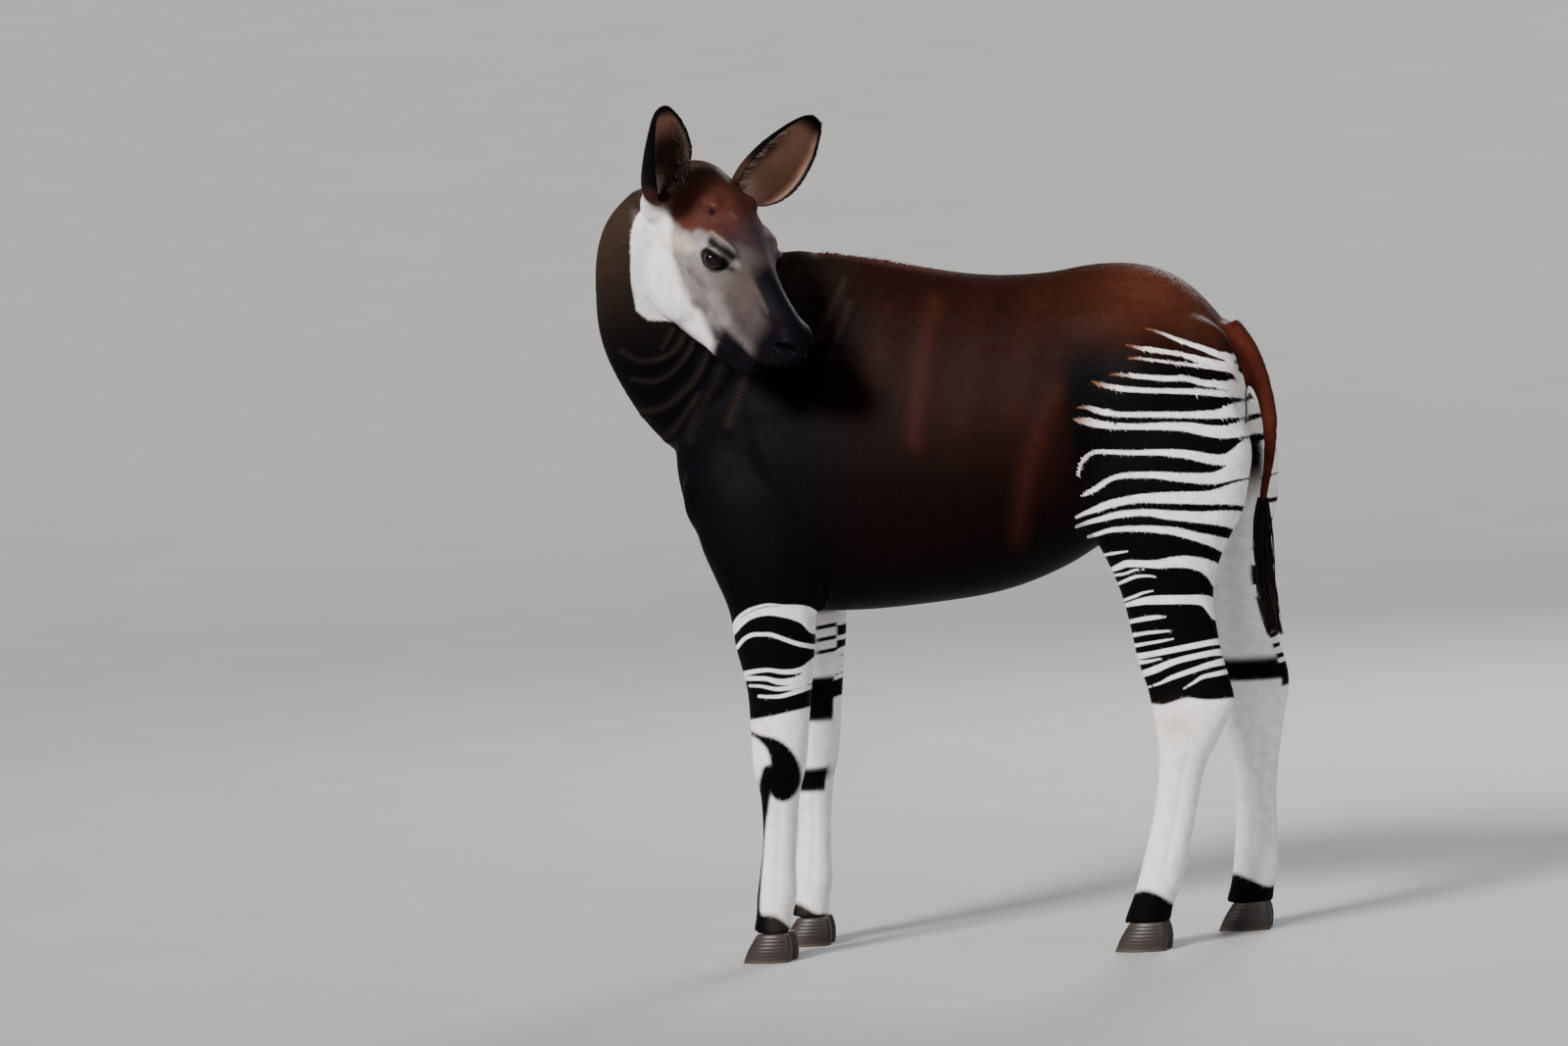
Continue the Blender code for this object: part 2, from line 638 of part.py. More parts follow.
def ear_axes(way, opening):
    way = Vector(way).normalized()
    opening = Vector(opening)
    opening = (opening - way * opening.dot(way)).normalized()
    return np.array(way), np.array(way.cross(opening)), np.array(opening)


def ear(name, root, way, opening):
    """A cupped leaf: a loft of rings that go round the back and return inside the cup."""
    way, side, opening = ear_axes(way, opening)
    half = EAR_SIDES // 2
    rings = []
    for share, radius, sweep, depth, bend in EAR_ROWS:
        arc = np.radians(np.linspace(-sweep / 2, sweep / 2, half))
        outer = np.stack([radius * np.sin(arc), -radius * np.cos(arc)], axis=1)
        inner = np.stack([(radius - EAR_WALL) * np.sin(arc), -(radius - EAR_WALL) * np.cos(arc)], axis=1)
        lip = -radius * math.cos(math.radians(sweep / 2)) - EAR_LIP
        flat = np.stack([inner[:, 0] * 0.9, np.full(half, lip)], axis=1)
        inner = flat + (inner - flat) * min(1.0, max(0.0, depth))
        ring = np.concatenate([outer, inner[::-1]])
        middle = np.array(root) + way * share * EAR_LENGTH
        rings.append(middle + np.outer(ring[:, 0], side) + np.outer(ring[:, 1] - bend, opening))
    return placed(loft(name, rings), head_matrix())


def ear_seat(root, way, opening):
    """Clears a round seat in the flesh for the root of an ear."""
    way, side, opening = ear_axes(way, opening)
    rings = []
    for share, radius, sweep, depth, bend in EAR_ROWS[:5]:
        start = GAP if share == 0 else 0.0
        middle = np.array(root) + way * (share * EAR_LENGTH - start) - opening * bend
        room = radius + SEAT_GAP
        rings.append(section(middle, side, opening, room, room, room, sides=2 * EAR_SIDES))
    return placed(loft("seat", rings), head_matrix())


def tail_seat():
    rings = tail_rings(SEAT_GAP)[0]
    way = rings[0].mean(0) - rings[1].mean(0)
    rings[0] = rings[0] + way / np.linalg.norm(way) * GAP
    return loft("tail_seat", rings)


def claws(name, x, y, length, turn):
    made = []
    for label, side in (("left", -1), ("right", 1)):
        rings = []
        for z, toe, heel, half, middle in CLAW:
            angle = np.linspace(0, 2 * math.pi, CLAW_SIDES, endpoint=False)
            reach = (heel - toe) / 2
            along = (toe + heel) / 2 + reach * np.cos(angle)
            pinch = 1 - CLAW_PINCH * np.clip(-np.cos(angle), 0, 1) ** 2
            across = half * np.sign(np.sin(angle)) * np.abs(np.sin(angle)) ** CLAW_SQUARENESS * pinch
            across = np.maximum(middle + across, CLEFT)
            rings.append(np.stack([along * length, side * across, np.full(CLAW_SIDES, z)], axis=1))
        claw = loft(f"hoof_{name}_{label}", rings)
        made.append(placed(claw, Matrix.Translation((x, y, 0)) @ Matrix.Rotation(math.radians(turn), 4, "Z")))
    return made


def tuft():
    rings = tail_rings()[1]
    way = rings[1].mean(0) - rings[0].mean(0)
    rings[0] = rings[0] + way / np.linalg.norm(way) * GAP
    core = loft("tail_tuft", rings)
    draw = np.random.default_rng(7)
    first, fall = TUFT_ROOTS
    root, swing, stray = TUFT_REACH
    locks = []
    for number in range(TUFT_LOCKS):
        turn = 2 * math.pi * (number * GOLDEN % 1)
        start = first - fall * number / TUFT_LOCKS
        length = draw.uniform(*TUFT_LENGTHS)
        out = np.array([math.cos(turn), math.sin(turn), 0])
        across = np.array([-math.sin(turn), math.cos(turn), 0])
        rings = []
        for share in np.linspace(0, 1, LOCK_RINGS):
            reach = root + swing * math.sin(share * 2.2) + stray * share * draw.uniform(-1, 1)
            middle = np.array([TUFT_MIDDLE_X, 0, start - length * share]) + out * reach
            wide = across * (LOCK_WIDE[0] * (1 - share) ** 0.6 + LOCK_WIDE[1])
            thick = out * (LOCK_THICK[0] * (1 - share) + LOCK_THICK[1])
            rings.append(np.array([middle + wide, middle + thick, middle - wide, middle - thick]))
        locks.append(loft("lock", rings))
    return largest(combined(core, locks, "UNION"))


def islands(obj):
    """The closed surfaces of a mesh, as lists of faces."""
    work = bmesh.new()
    work.from_mesh(obj.data)
    left = set(work.faces)
    found = []
    while left:
        stack = [left.pop()]
        group = [stack[0]]
        while stack:
            for edge in stack.pop().edges:
                for face in edge.link_faces:
                    if face in left:
                        left.remove(face)
                        group.append(face)
                        stack.append(face)
        found.append(group)
    return work, found


def piece(name, faces):
    """A new object made of some faces of a mesh."""
    index = {}
    points = []
    polygons = []
    for face in faces:
        ring = []
        for vert in face.verts:
            if vert.index not in index:
                index[vert.index] = len(points)
                points.append(vert.co.copy())
            ring.append(index[vert.index])
        polygons.append(ring)
    return mesh_object(name, points, polygons)


def volume(faces):
    total = 0.0
    for face in faces:
        corners = [v.co for v in face.verts]
        for k in range(1, len(corners) - 1):
            total += corners[0].dot(corners[k].cross(corners[k + 1])) / 6
    return total


def largest(obj):
    """Keeps only the largest closed surface of an object."""
    name = obj.name
    work, found = islands(obj)
    kept = piece("kept", max(found, key=volume))
    work.free()
    bpy.data.objects.remove(obj)
    kept.name = name
    return kept


def parted(flesh):
    """Cuts the flesh apart and names each piece by the anchor nearest to its middle."""
    cutters = [box("cut", point, normal, half, GAP) for point, normal, half in CUTS]
    combined(flesh, [joined("cuts", cutters)], "DIFFERENCE")
    work, found = islands(flesh)
    pieces = {}
    for faces in found:
        size = volume(faces)
        area = sum(face.calc_area() for face in faces)
        middle = sum((face.calc_center_median() * face.calc_area() for face in faces), Vector()) / area
        name = min(ANCHORS, key=lambda a: (Vector(a[1]) - middle).length)[0]
        if name not in pieces or size > pieces[name][0]:
            pieces[name] = (size, faces)
    made = [piece(name, faces) for name, (size, faces) in pieces.items()]
    work.free()
    bpy.data.objects.remove(flesh)
    return made


def material(name):
    colour, roughness = COLOURS[name]
    made = bpy.data.materials.new(name)
    made.use_nodes = True
    shader = made.node_tree.nodes["Principled BSDF"]
    shader.inputs["Base Color"].default_value = (*colour, 1.0)
    shader.inputs["Roughness"].default_value = roughness
    shader.inputs["Metallic"].default_value = 0.0
    made.diffuse_color = (*colour, 1.0)
    return made


def material_for(name, materials):
    if name.startswith("hoof"):
        return materials["horn"]
    if name.startswith("eye"):
        return materials["eye"]
    if name.startswith("ear") or name == "tail_tuft":
        return materials["hair_black"]
    if name.endswith("_lower") and "leg" in name:
        return materials["hair_white"]
    if name == "head" or name.startswith("neck"):
        return materials["hair_grey"]
    return materials["hair_brown"]


def main():
    for obj in list(bpy.data.objects):
        bpy.data.objects.remove(obj)
    head = fused("head", head_forms(), HEAD_VOXEL, HEAD_TRIANGLES, lambda points: np.full(len(points), 0.5))
    body = fused(
        "body", body_forms(), BODY_VOXEL, BODY_TRIANGLES,
        lambda points: np.clip((points[:, 2] - 0.60) / 0.2, 0.12, 1.0),
    )
    seats = [ear_seat(*row[1:]) for row in EARS]
    spare = [ear_seat(*row[1:]) for row in EARS]
    combined(body, [grown(head, HEAD_GAP), tail_seat()] + spare, "DIFFERENCE")
    nodes = parted(body)
    nodes.append(largest(combined(head, face_cutters() + seats, "DIFFERENCE")))
    nodes += [ear(*row) for row in EARS]
    nodes.append(loft("tail", tail_rings()[0]))
    for name, side in (("eye_left", 1), ("eye_right", -1)):
        middle = (EYE[0], side * EYE[1], EYE[2])
        nodes.append(placed(ball(name, middle, (EYE_RADIUS,) * 3, segments=EYE_SIDES), head_matrix()))
    for row in HOOVES:
        nodes += claws(*row)
    nodes.append(tuft())
    materials = {name: material(name) for name in COLOURS}
    low = np.full(3, np.inf)
    high = np.full(3, -np.inf)
    for obj in nodes:
        obj.data.materials.append(material_for(obj.name, materials))
        points = np.array([v.co for v in obj.data.vertices])
        low = np.minimum(low, points.min(0))
        high = np.maximum(high, points.max(0))
    parts = bpy.data.collections.new("okapi")
    bpy.context.scene.collection.children.link(parts)
    shift = Matrix.Translation((-(low[0] + high[0]) / 2, -(low[1] + high[1]) / 2, -low[2]))
    for obj in nodes:
        obj.data.transform(shift)
        bpy.context.scene.collection.objects.unlink(obj)
        parts.objects.link(obj)


main()
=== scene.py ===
"""Looks of a young okapi, life size, standing with its head turned back over its left shoulder.

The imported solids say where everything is. One skin is drawn over all of the flesh from a table of
sections for each part of the body. Folds, lids, lips and nostrils are modelled on it, and a short
coat of small tufts is laid over it along the lie of the hair. Eyes, hooves and long hair are pieces
of their own. Body axes: metres, +Z up, the animal faces -X, its left side is -Y.
"""

import math

import bmesh
import bpy
import numpy as np
from mathutils import Matrix, Vector


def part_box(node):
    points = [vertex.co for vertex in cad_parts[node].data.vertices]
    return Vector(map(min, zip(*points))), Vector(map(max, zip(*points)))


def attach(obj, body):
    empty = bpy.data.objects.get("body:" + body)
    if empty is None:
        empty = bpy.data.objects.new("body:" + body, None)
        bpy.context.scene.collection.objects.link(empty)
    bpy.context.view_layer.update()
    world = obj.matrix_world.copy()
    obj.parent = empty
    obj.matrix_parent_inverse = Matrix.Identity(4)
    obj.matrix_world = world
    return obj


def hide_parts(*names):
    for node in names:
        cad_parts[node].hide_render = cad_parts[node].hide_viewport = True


# Sizes that drive the skin and the coat, in metres
VOXEL = 0.0054
HEAD_ENLARGED = 2.0
HEAD_REACH = 0.31
FORM_SIDES = 56
RELAX_ROUNDS = 40
CORONET = 0.052
EYE_RADIUS = 0.0200
EAR_LENGTH = 0.225
EAR_WALL = 0.006
EAR_LIP = 0.002
MM = 0.001
# A score for points that a line doesn't reach
FAR = 99.0
# Trunk, from breast to rump: x, top, bottom, y of the middle, half width, how much narrower at the top
TRUNK = (
    (-0.584, 0.97, 0.89, -0.020, 0.030, 0.00),
    (-0.566, 1.03, 0.82, -0.020, 0.075, 0.05),
    (-0.532, 1.10, 0.742, -0.018, 0.108, 0.12),
    (-0.470, 1.21, 0.675, -0.012, 0.132, 0.24),
    (-0.380, 1.285, 0.642, -0.005, 0.150, 0.34),
    (-0.280, 1.290, 0.632, 0.000, 0.165, 0.32),
    (-0.150, 1.265, 0.636, 0.008, 0.185, 0.24),
    (0.000, 1.235, 0.652, 0.012, 0.200, 0.16),
    (0.120, 1.230, 0.690, 0.012, 0.198, 0.12),
    (0.220, 1.240, 0.745, 0.008, 0.183, 0.12),
    (0.310, 1.232, 0.800, 0.004, 0.165, 0.14),
    (0.380, 1.198, 0.840, 0.000, 0.142, 0.14),
    (0.440, 1.130, 0.870, 0.000, 0.108, 0.10),
    (0.468, 1.070, 0.910, 0.000, 0.070, 0.05),
    (0.478, 1.020, 0.950, 0.000, 0.030, 0.00),
)
# Legs, from the top down: z, front x, back x, y of the middle, half width
FORELEG = (
    (0.920, -0.520, -0.330, 0.110, 0.045),
    (0.860, -0.540, -0.290, 0.115, 0.058),
    (0.780, -0.530, -0.275, 0.120, 0.062),
    (0.720, -0.508, -0.292, 0.120, 0.062),
    (0.652, -0.483, -0.318, 0.118, 0.056),
    (0.580, -0.475, -0.327, 0.115, 0.050),
    (0.508, -0.461, -0.339, 0.112, 0.045),
    (0.435, -0.460, -0.350, 0.110, 0.041),
    (0.385, -0.461, -0.357, 0.108, 0.043),
    (0.345, -0.459, -0.366, 0.107, 0.042),
    (0.310, -0.451, -0.377, 0.106, 0.036),
    (0.235, -0.452, -0.389, 0.105, 0.029),
    (0.177, -0.461, -0.395, 0.104, 0.030),
    (0.120, -0.472, -0.398, 0.103, 0.035),
    (0.085, -0.476, -0.408, 0.103, 0.034),
    (0.055, -0.484, -0.410, 0.103, 0.038),
    (0.020, -0.492, -0.408, 0.103, 0.040),
)
HINDLEG_LEFT = (
    (1.060, 0.220, 0.400, 0.085, 0.060),
    (0.980, 0.185, 0.470, 0.092, 0.076),
    (0.900, 0.165, 0.500, 0.098, 0.082),
    (0.828, 0.160, 0.491, 0.104, 0.078),
    (0.778, 0.188, 0.478, 0.110, 0.072),
    (0.735, 0.213, 0.452, 0.115, 0.065),
    (0.690, 0.234, 0.430, 0.118, 0.057),
    (0.639, 0.252, 0.417, 0.120, 0.050),
    (0.582, 0.263, 0.419, 0.120, 0.043),
    (0.525, 0.272, 0.427, 0.120, 0.038),
    (0.470, 0.287, 0.440, 0.120, 0.037),
    (0.437, 0.292, 0.441, 0.120, 0.039),
    (0.383, 0.298, 0.414, 0.120, 0.038),
    (0.327, 0.298, 0.382, 0.119, 0.032),
    (0.242, 0.281, 0.359, 0.118, 0.028),
    (0.158, 0.256, 0.337, 0.117, 0.032),
    (0.110, 0.240, 0.322, 0.116, 0.036),
    (0.078, 0.226, 0.306, 0.116, 0.036),
    (0.050, 0.214, 0.300, 0.116, 0.039),
    (0.020, 0.204, 0.298, 0.116, 0.041),
)
HINDLEG_RIGHT = (
    (1.060, 0.225, 0.405, 0.085, 0.060),
    (0.980, 0.200, 0.475, 0.092, 0.076),
    (0.900, 0.200, 0.512, 0.098, 0.082),
    (0.844, 0.215, 0.512, 0.104, 0.078),
    (0.786, 0.255, 0.506, 0.110, 0.072),
    (0.729, 0.288, 0.486, 0.115, 0.065),
    (0.672, 0.316, 0.471, 0.118, 0.056),
    (0.645, 0.326, 0.466, 0.120, 0.051),
    (0.586, 0.345, 0.474, 0.120, 0.043),
    (0.528, 0.358, 0.489, 0.120, 0.038),
    (0.480, 0.367, 0.502, 0.120, 0.037),
    (0.440, 0.374, 0.502, 0.120, 0.039),
    (0.382, 0.380, 0.489, 0.120, 0.038),
    (0.324, 0.391, 0.477, 0.119, 0.032),
    (0.250, 0.392, 0.467, 0.118, 0.028),
    (0.158, 0.384, 0.464, 0.117, 0.032),
    (0.110, 0.377, 0.462, 0.116, 0.036),
    (0.078, 0.370, 0.452, 0.116, 0.036),
    (0.050, 0.360, 0.448, 0.116, 0.039),
    (0.020, 0.350, 0.446, 0.116, 0.041),
)
# Legs: name, table, side, and how far the foot is set back from the table
LEGS = (
    ("foreleg_left", FORELEG, -1, 0.0),
    ("foreleg_right", FORELEG, 1, 0.02),
    ("hindleg_left", HINDLEG_LEFT, -1, 0.0),
    ("hindleg_right", HINDLEG_RIGHT, 1, 0.0),
)
# Height from which down a leg goes back to such a foot
SET_BACK_BELOW = 0.6
# Tendons' grooves along the cannons: lowest and highest height, and their place from front to back
GROOVES = {"foreleg": (0.11, 0.30, 0.60), "hindleg": (0.12, 0.36, 0.60)}
GROOVE_HALF = 0.0055
GROOVE_DEPTH = 0.0022
# Neck, from inside the breast to the back of the skull: x, y, z of the middle, the direction of the
# nape, half width, rise to the nape, drop to the throat
NECK = (
    (-0.300, 0.000, 1.030, 0.25, 0.00, 0.97, 0.125, 0.230, 0.190),
    (-0.410, -0.005, 1.065, 0.40, 0.00, 0.92, 0.120, 0.252, 0.205),
    (-0.510, -0.028, 1.120, 0.62, 0.00, 0.78, 0.107, 0.215, 0.182),
    (-0.580, -0.065, 1.190, 0.82, 0.10, 0.57, 0.093, 0.145, 0.134),
    (-0.602, -0.105, 1.262, 0.93, 0.10, 0.35, 0.084, 0.104, 0.095),
    (-0.587, -0.140, 1.333, 0.82, -0.05, 0.20, 0.080, 0.085, 0.082),
    (-0.540, -0.165, 1.383, 0.62, -0.15, 0.10, 0.070, 0.075, 0.070),
)
# Muscles of the trunk: middle, radii, turn about x, y and z in degrees. Each is made on both sides.
MUSCLES = (
    ((-0.345, 0.060, 1.040), (0.125, 0.052, 0.200), (8, -18, 0)),
    ((-0.455, 0.108, 0.870), (0.100, 0.055, 0.110), (0, 40, 0)),
    ((-0.345, 0.118, 0.860), (0.095, 0.052, 0.165), (0, -20, 0)),
    ((-0.318, 0.118, 0.690), (0.026, 0.026, 0.050), (0, -10, 0)),
    ((0.265, 0.066, 1.075), (0.160, 0.080, 0.110), (14, 15, 0)),
    ((0.372, 0.060, 1.015), (0.100, 0.062, 0.130), (12, 30, 0)),
    ((0.290, 0.108, 0.930), (0.135, 0.068, 0.180), (5, 10, 0)),
    ((0.405, 0.082, 0.890), (0.080, 0.056, 0.150), (0, -6, 0)),
)
# Head. Its own axes run from the back of the skull: +X to the lips, +Y to its left, +Z to the forehead.
HEAD_ROOT = Vector((-0.505, -0.151, 1.407))
HEAD_HEADING = -37.0
HEAD_PITCH = 45.5
HEAD_ROLL = -5.0
SKULL = (
    (-0.045, 0.040, -0.040, 0.030, 0.00),
    (-0.028, 0.074, -0.065, 0.058, 0.05),
    (0.015, 0.098, -0.085, 0.075, 0.12),
    (0.065, 0.104, -0.090, 0.084, 0.14),
    (0.115, 0.102, -0.090, 0.086, 0.14),
    (0.160, 0.096, -0.088, 0.085, 0.12),
    (0.205, 0.084, -0.086, 0.074, 0.15),
    (0.250, 0.072, -0.084, 0.058, 0.18),
    (0.300, 0.063, -0.078, 0.045, 0.18),
    (0.340, 0.059, -0.066, 0.038, 0.10),
    (0.376, 0.056, -0.052, 0.036, 0.05),
    (0.406, 0.047, -0.034, 0.031, 0.00),
    (0.424, 0.030, -0.010, 0.018, 0.00),
)
JAW = (
    (0.000, -0.030, -0.104, 0.040, 0.00),
    (0.030, -0.020, -0.142, 0.058, 0.00),
    (0.080, -0.020, -0.162, 0.066, 0.05),
    (0.135, -0.030, -0.165, 0.064, 0.10),
    (0.190, -0.050, -0.158, 0.053, 0.15),
    (0.240, -0.065, -0.142, 0.041, 0.12),
    (0.285, -0.066, -0.124, 0.037, 0.08),
    (0.320, -0.060, -0.115, 0.034, 0.00),
    (0.344, -0.056, -0.104, 0.029, 0.00),
    (0.362, -0.056, -0.086, 0.018, 0.00),
)
HEAD_MUSCLES = (
    ((0.120, 0.048, -0.070), (0.095, 0.036, 0.085), (0, 12, 0)),
    ((0.230, 0.030, -0.066), (0.100, 0.025, 0.056), (0, 12, 0)),
    ((0.000, 0.046, -0.060), (0.056, 0.042, 0.085), (0, 0, 0)),
    ((0.045, 0.034, -0.140), (0.085, 0.034, 0.034), (0, 54, 0)),
    ((0.182, 0.046, 0.061), (0.046, 0.022, 0.015), (0, 12, -8)),
    ((0.215, 0.050, -0.010), (0.070, 0.015, 0.014), (0, 8, -14)),
    ((0.100, 0.040, 0.077), (0.030, 0.024, 0.017), (0, 0, 0)),
    ((0.018, 0.074, 0.006), (0.038, 0.034, 0.038), (0, 0, 0)),
    ((0.384, 0.017, 0.020), (0.034, 0.019, 0.032), (0, 10, 0)),
    ((0.345, 0.016, -0.046), (0.055, 0.022, 0.018), (0, -14, -4)),
    ((0.315, 0.010, -0.096), (0.050, 0.022, 0.020), (0, -8, 0)),
)
# The line through the head that its coat is measured from, in its own axes: x and radius
HEAD_LINE = ((-0.03, 0.05), (0.03, 0.09), (0.12, 0.105), (0.20, 0.09), (0.30, 0.058), (0.40, 0.04))
EYE = (0.193, 0.067, 0.033)
LID_THICKNESS = 0.0035
# Eyes: name and side in the head's axes, the way each looks and the way its lids' corners lie
EYES = (("left", 1), ("right", -1))
EYE_OUT = (0.25, 1.0, 0.10)
EYE_ACROSS = (1.0, 0.0, 0.25)
# Opening of the lids: half its length and height on the ball, and how much the corners narrow
OPENING = (0.0226, 0.0126)
OPENING_POINT = 0.55
CORNEA_RISE = 0.0015
CORNEA_WIDE = math.radians(35)
# Half width and height of the pupil, and where the iris ends
PUPIL = (0.0072, 0.0042)
IRIS = (0.0105, 0.0120)
# Skin round the lids: angle past their edge in degrees, height over the ball in millimetres
ROUND_LIDS = ((-90, -2.5), (7, -2.5), (9.5, 0.6), (13, 2.2), (18, 3.2), (26, 3.4), (40, 3.0))
# Angles past the lids' edge, in degrees, between which the skin goes over into the cheek, and where
# the hair starts
LIDS_END = (16, 42)
HAIR_PAST_LIDS = 17
# Section of the lids, from the ball outwards and back beneath: angle past the edge in degrees, height
# over the ball in millimetres
LID_ROWS = ((-0.8, -1.2), (0, 0.3), (1.5, 1.2), (4, 1.9), (8, 2.2), (14, 1.9), (20, 1.0), (20, -2.5),
            (8, -2.5))
# Ears: where each stands, the way it points and the way its cup opens, in the head's axes
EARS = (
    ("left", (0.018, 0.090, 0.012), (0.03, 0.42, 0.91), (0.92, -0.36, 0.16)),
    ("right", (0.020, -0.088, 0.008), (-0.03, -0.354, 0.935), (0.90, 0.40, 0.18)),
)
# Ear from root to tip: share of its length, radius of the cup, how far round it goes in degrees,
# depth of the cup as a share of the radius, bend away from the opening
EAR_ROWS = (
    (0.00, 0.024, 300, 0.02, 0.000),
    (0.10, 0.028, 285, 0.30, -0.003),
    (0.20, 0.042, 240, 0.80, -0.014),
    (0.32, 0.054, 205, 1.00, -0.024),
    (0.46, 0.059, 182, 1.00, -0.028),
    (0.60, 0.058, 165, 1.00, -0.026),
    (0.75, 0.051, 150, 1.00, -0.019),
    (0.87, 0.040, 135, 1.00, -0.008),
    (0.95, 0.029, 125, 1.00, 0.001),
    (1.00, 0.016, 120, 1.00, 0.008),
)
# Tail: x, y, z and radius down to the end of the flesh
TAIL = (
    (0.452, 0.000, 1.112, 0.026),
    (0.486, 0.000, 1.064, 0.023),
    (0.509, 0.000, 1.000, 0.019),
    (0.519, 0.000, 0.930, 0.016),
    (0.512, 0.000, 0.860, 0.013),
    (0.498, 0.000, 0.800, 0.011),
    (0.494, 0.000, 0.750, 0.009),
    (0.492, 0.000, 0.700, 0.005),
)
TUFT_CORE = ((0.498, 0.0, 0.810), (0.494, 0.0, 0.750), (0.492, 0.0, 0.690), (0.494, 0.0, 0.630),
             (0.498, 0.0, 0.575), (0.503, 0.0, 0.540))
# Heights between which the hair of the tuft is rooted, and where its longest hair ends
TUFT_ROOTS = (0.655, 0.800)
TUFT_END = 0.548
# Ridge of the withers: x, height of the skin and length of the mane there as a share
MANE = ((-0.395, 1.281, 0.5), (-0.350, 1.292, 0.9), (-0.293, 1.291, 1.0), (-0.180, 1.270, 0.9),
        (-0.090, 1.250, 0.6), (-0.034, 1.238, 0.3))
# Nostril: middle, the way it runs, the way it goes in, half length and width, depth and raised rim
NOSTRIL = (0.408, 0.027, 0.017)
NOSTRIL_WAY = (0.83, -0.50, 0.22)
NOSTRIL_INWARD = (-0.75, -0.62, -0.16)
NOSTRIL_LENGTH = 0.021
NOSTRIL_WIDTH = 0.0080
NOSTRIL_DEPTH = 0.015
NOSTRIL_RIM = 0.0022
# How much a nostril bends and widens over its span
NOSTRIL_SPAN = 0.02
NOSTRIL_BEND = 0.18
NOSTRIL_FLARE = 0.40
# Radii of the bare skin round a nostril, and the bare border of the mouth
NOSTRIL_BARE = (0.020, 0.017, 0.017)
MOUTH_BARE = 0.0045
# Line of the mouth, in the head's axes and in millimetres
MOUTH = ((283, 50, -83), (305, 49, -75), (330, 46, -66), (352, 42, -58), (376, 38, -48), (400, 31, -36),
         (418, 12, -26), (421, 0, -25))
# Creases: points, half width and depth in millimetres; a negative depth raises a ridge
CREASES = (
    (MOUTH, 2.3, 4.2),
    (((290, 50, -72), (330, 47, -55), (376, 39, -37), (404, 30, -25)), 5.0, -1.6),
    (((300, 44, -88), (335, 40, -78), (358, 30, -70)), 5.0, -1.8),
    (((150, 74, 60), (172, 70, 66), (195, 64, 64), (222, 55, 55)), 2.4, 1.5),
    (((160, 88, 10), (185, 88, 3), (212, 80, 3), (236, 68, 12)), 2.8, 1.1),
    (((216, 73, 26), (232, 64, 18), (246, 58, 10)), 2.4, 1.6),
    (((420, 0, 34), (432, 0, 10), (426, 0, -15)), 2.2, 1.4),
    (((150, 86, -10), (176, 80, -40), (196, 68, -80), (205, 56, -115)), 8.0, 1.8),
    (((60, 84, -15), (120, 88, -22), (185, 82, -12), (255, 58, -12)), 7.0, -1.4),
    (((225, 55, -45), (262, 50, -58), (292, 48, -68)), 6.0, 1.3),
    (((386, 42, 5), (396, 44, -8), (410, 36, -16)), 3.4, -1.2),
    (((140, 72, 52), (172, 65, 70), (198, 55, 72), (230, 45, 62)), 6.0, -2.6),
    (((160, 74, 47), (190, 66, 56), (216, 56, 56)), 6.0, 2.2),
    (((238, 60, 20), (270, 52, 4), (310, 46, -12)), 5.0, -1.6),
    (((115, 58, 80), (122, 54, 79)), 7.0, 3.0),
    (((128, 60, 70), (150, 50, 82), (180, 34, 88)), 6.0, 1.6),
    (((250, 46, 40), (290, 36, 36), (330, 34, 30)), 8.0, 1.5),
)
# Soft swellings: middle, radii and height in millimetres
SWELLINGS = (
    ((88, 67, 62), (24, 20, 22), 4.5),
    ((150, 30, 92), (22, 16, 16), 2.0),
    ((255, 56, -28), (30, 20, 20), 2.5),
    ((100, 40, 98), (17, 15, 15), 4.0),
    ((395, 30, 32), (20, 13, 13), 2.6),
    ((345, 0, -112), (20, 24, 14), 2.0),
)
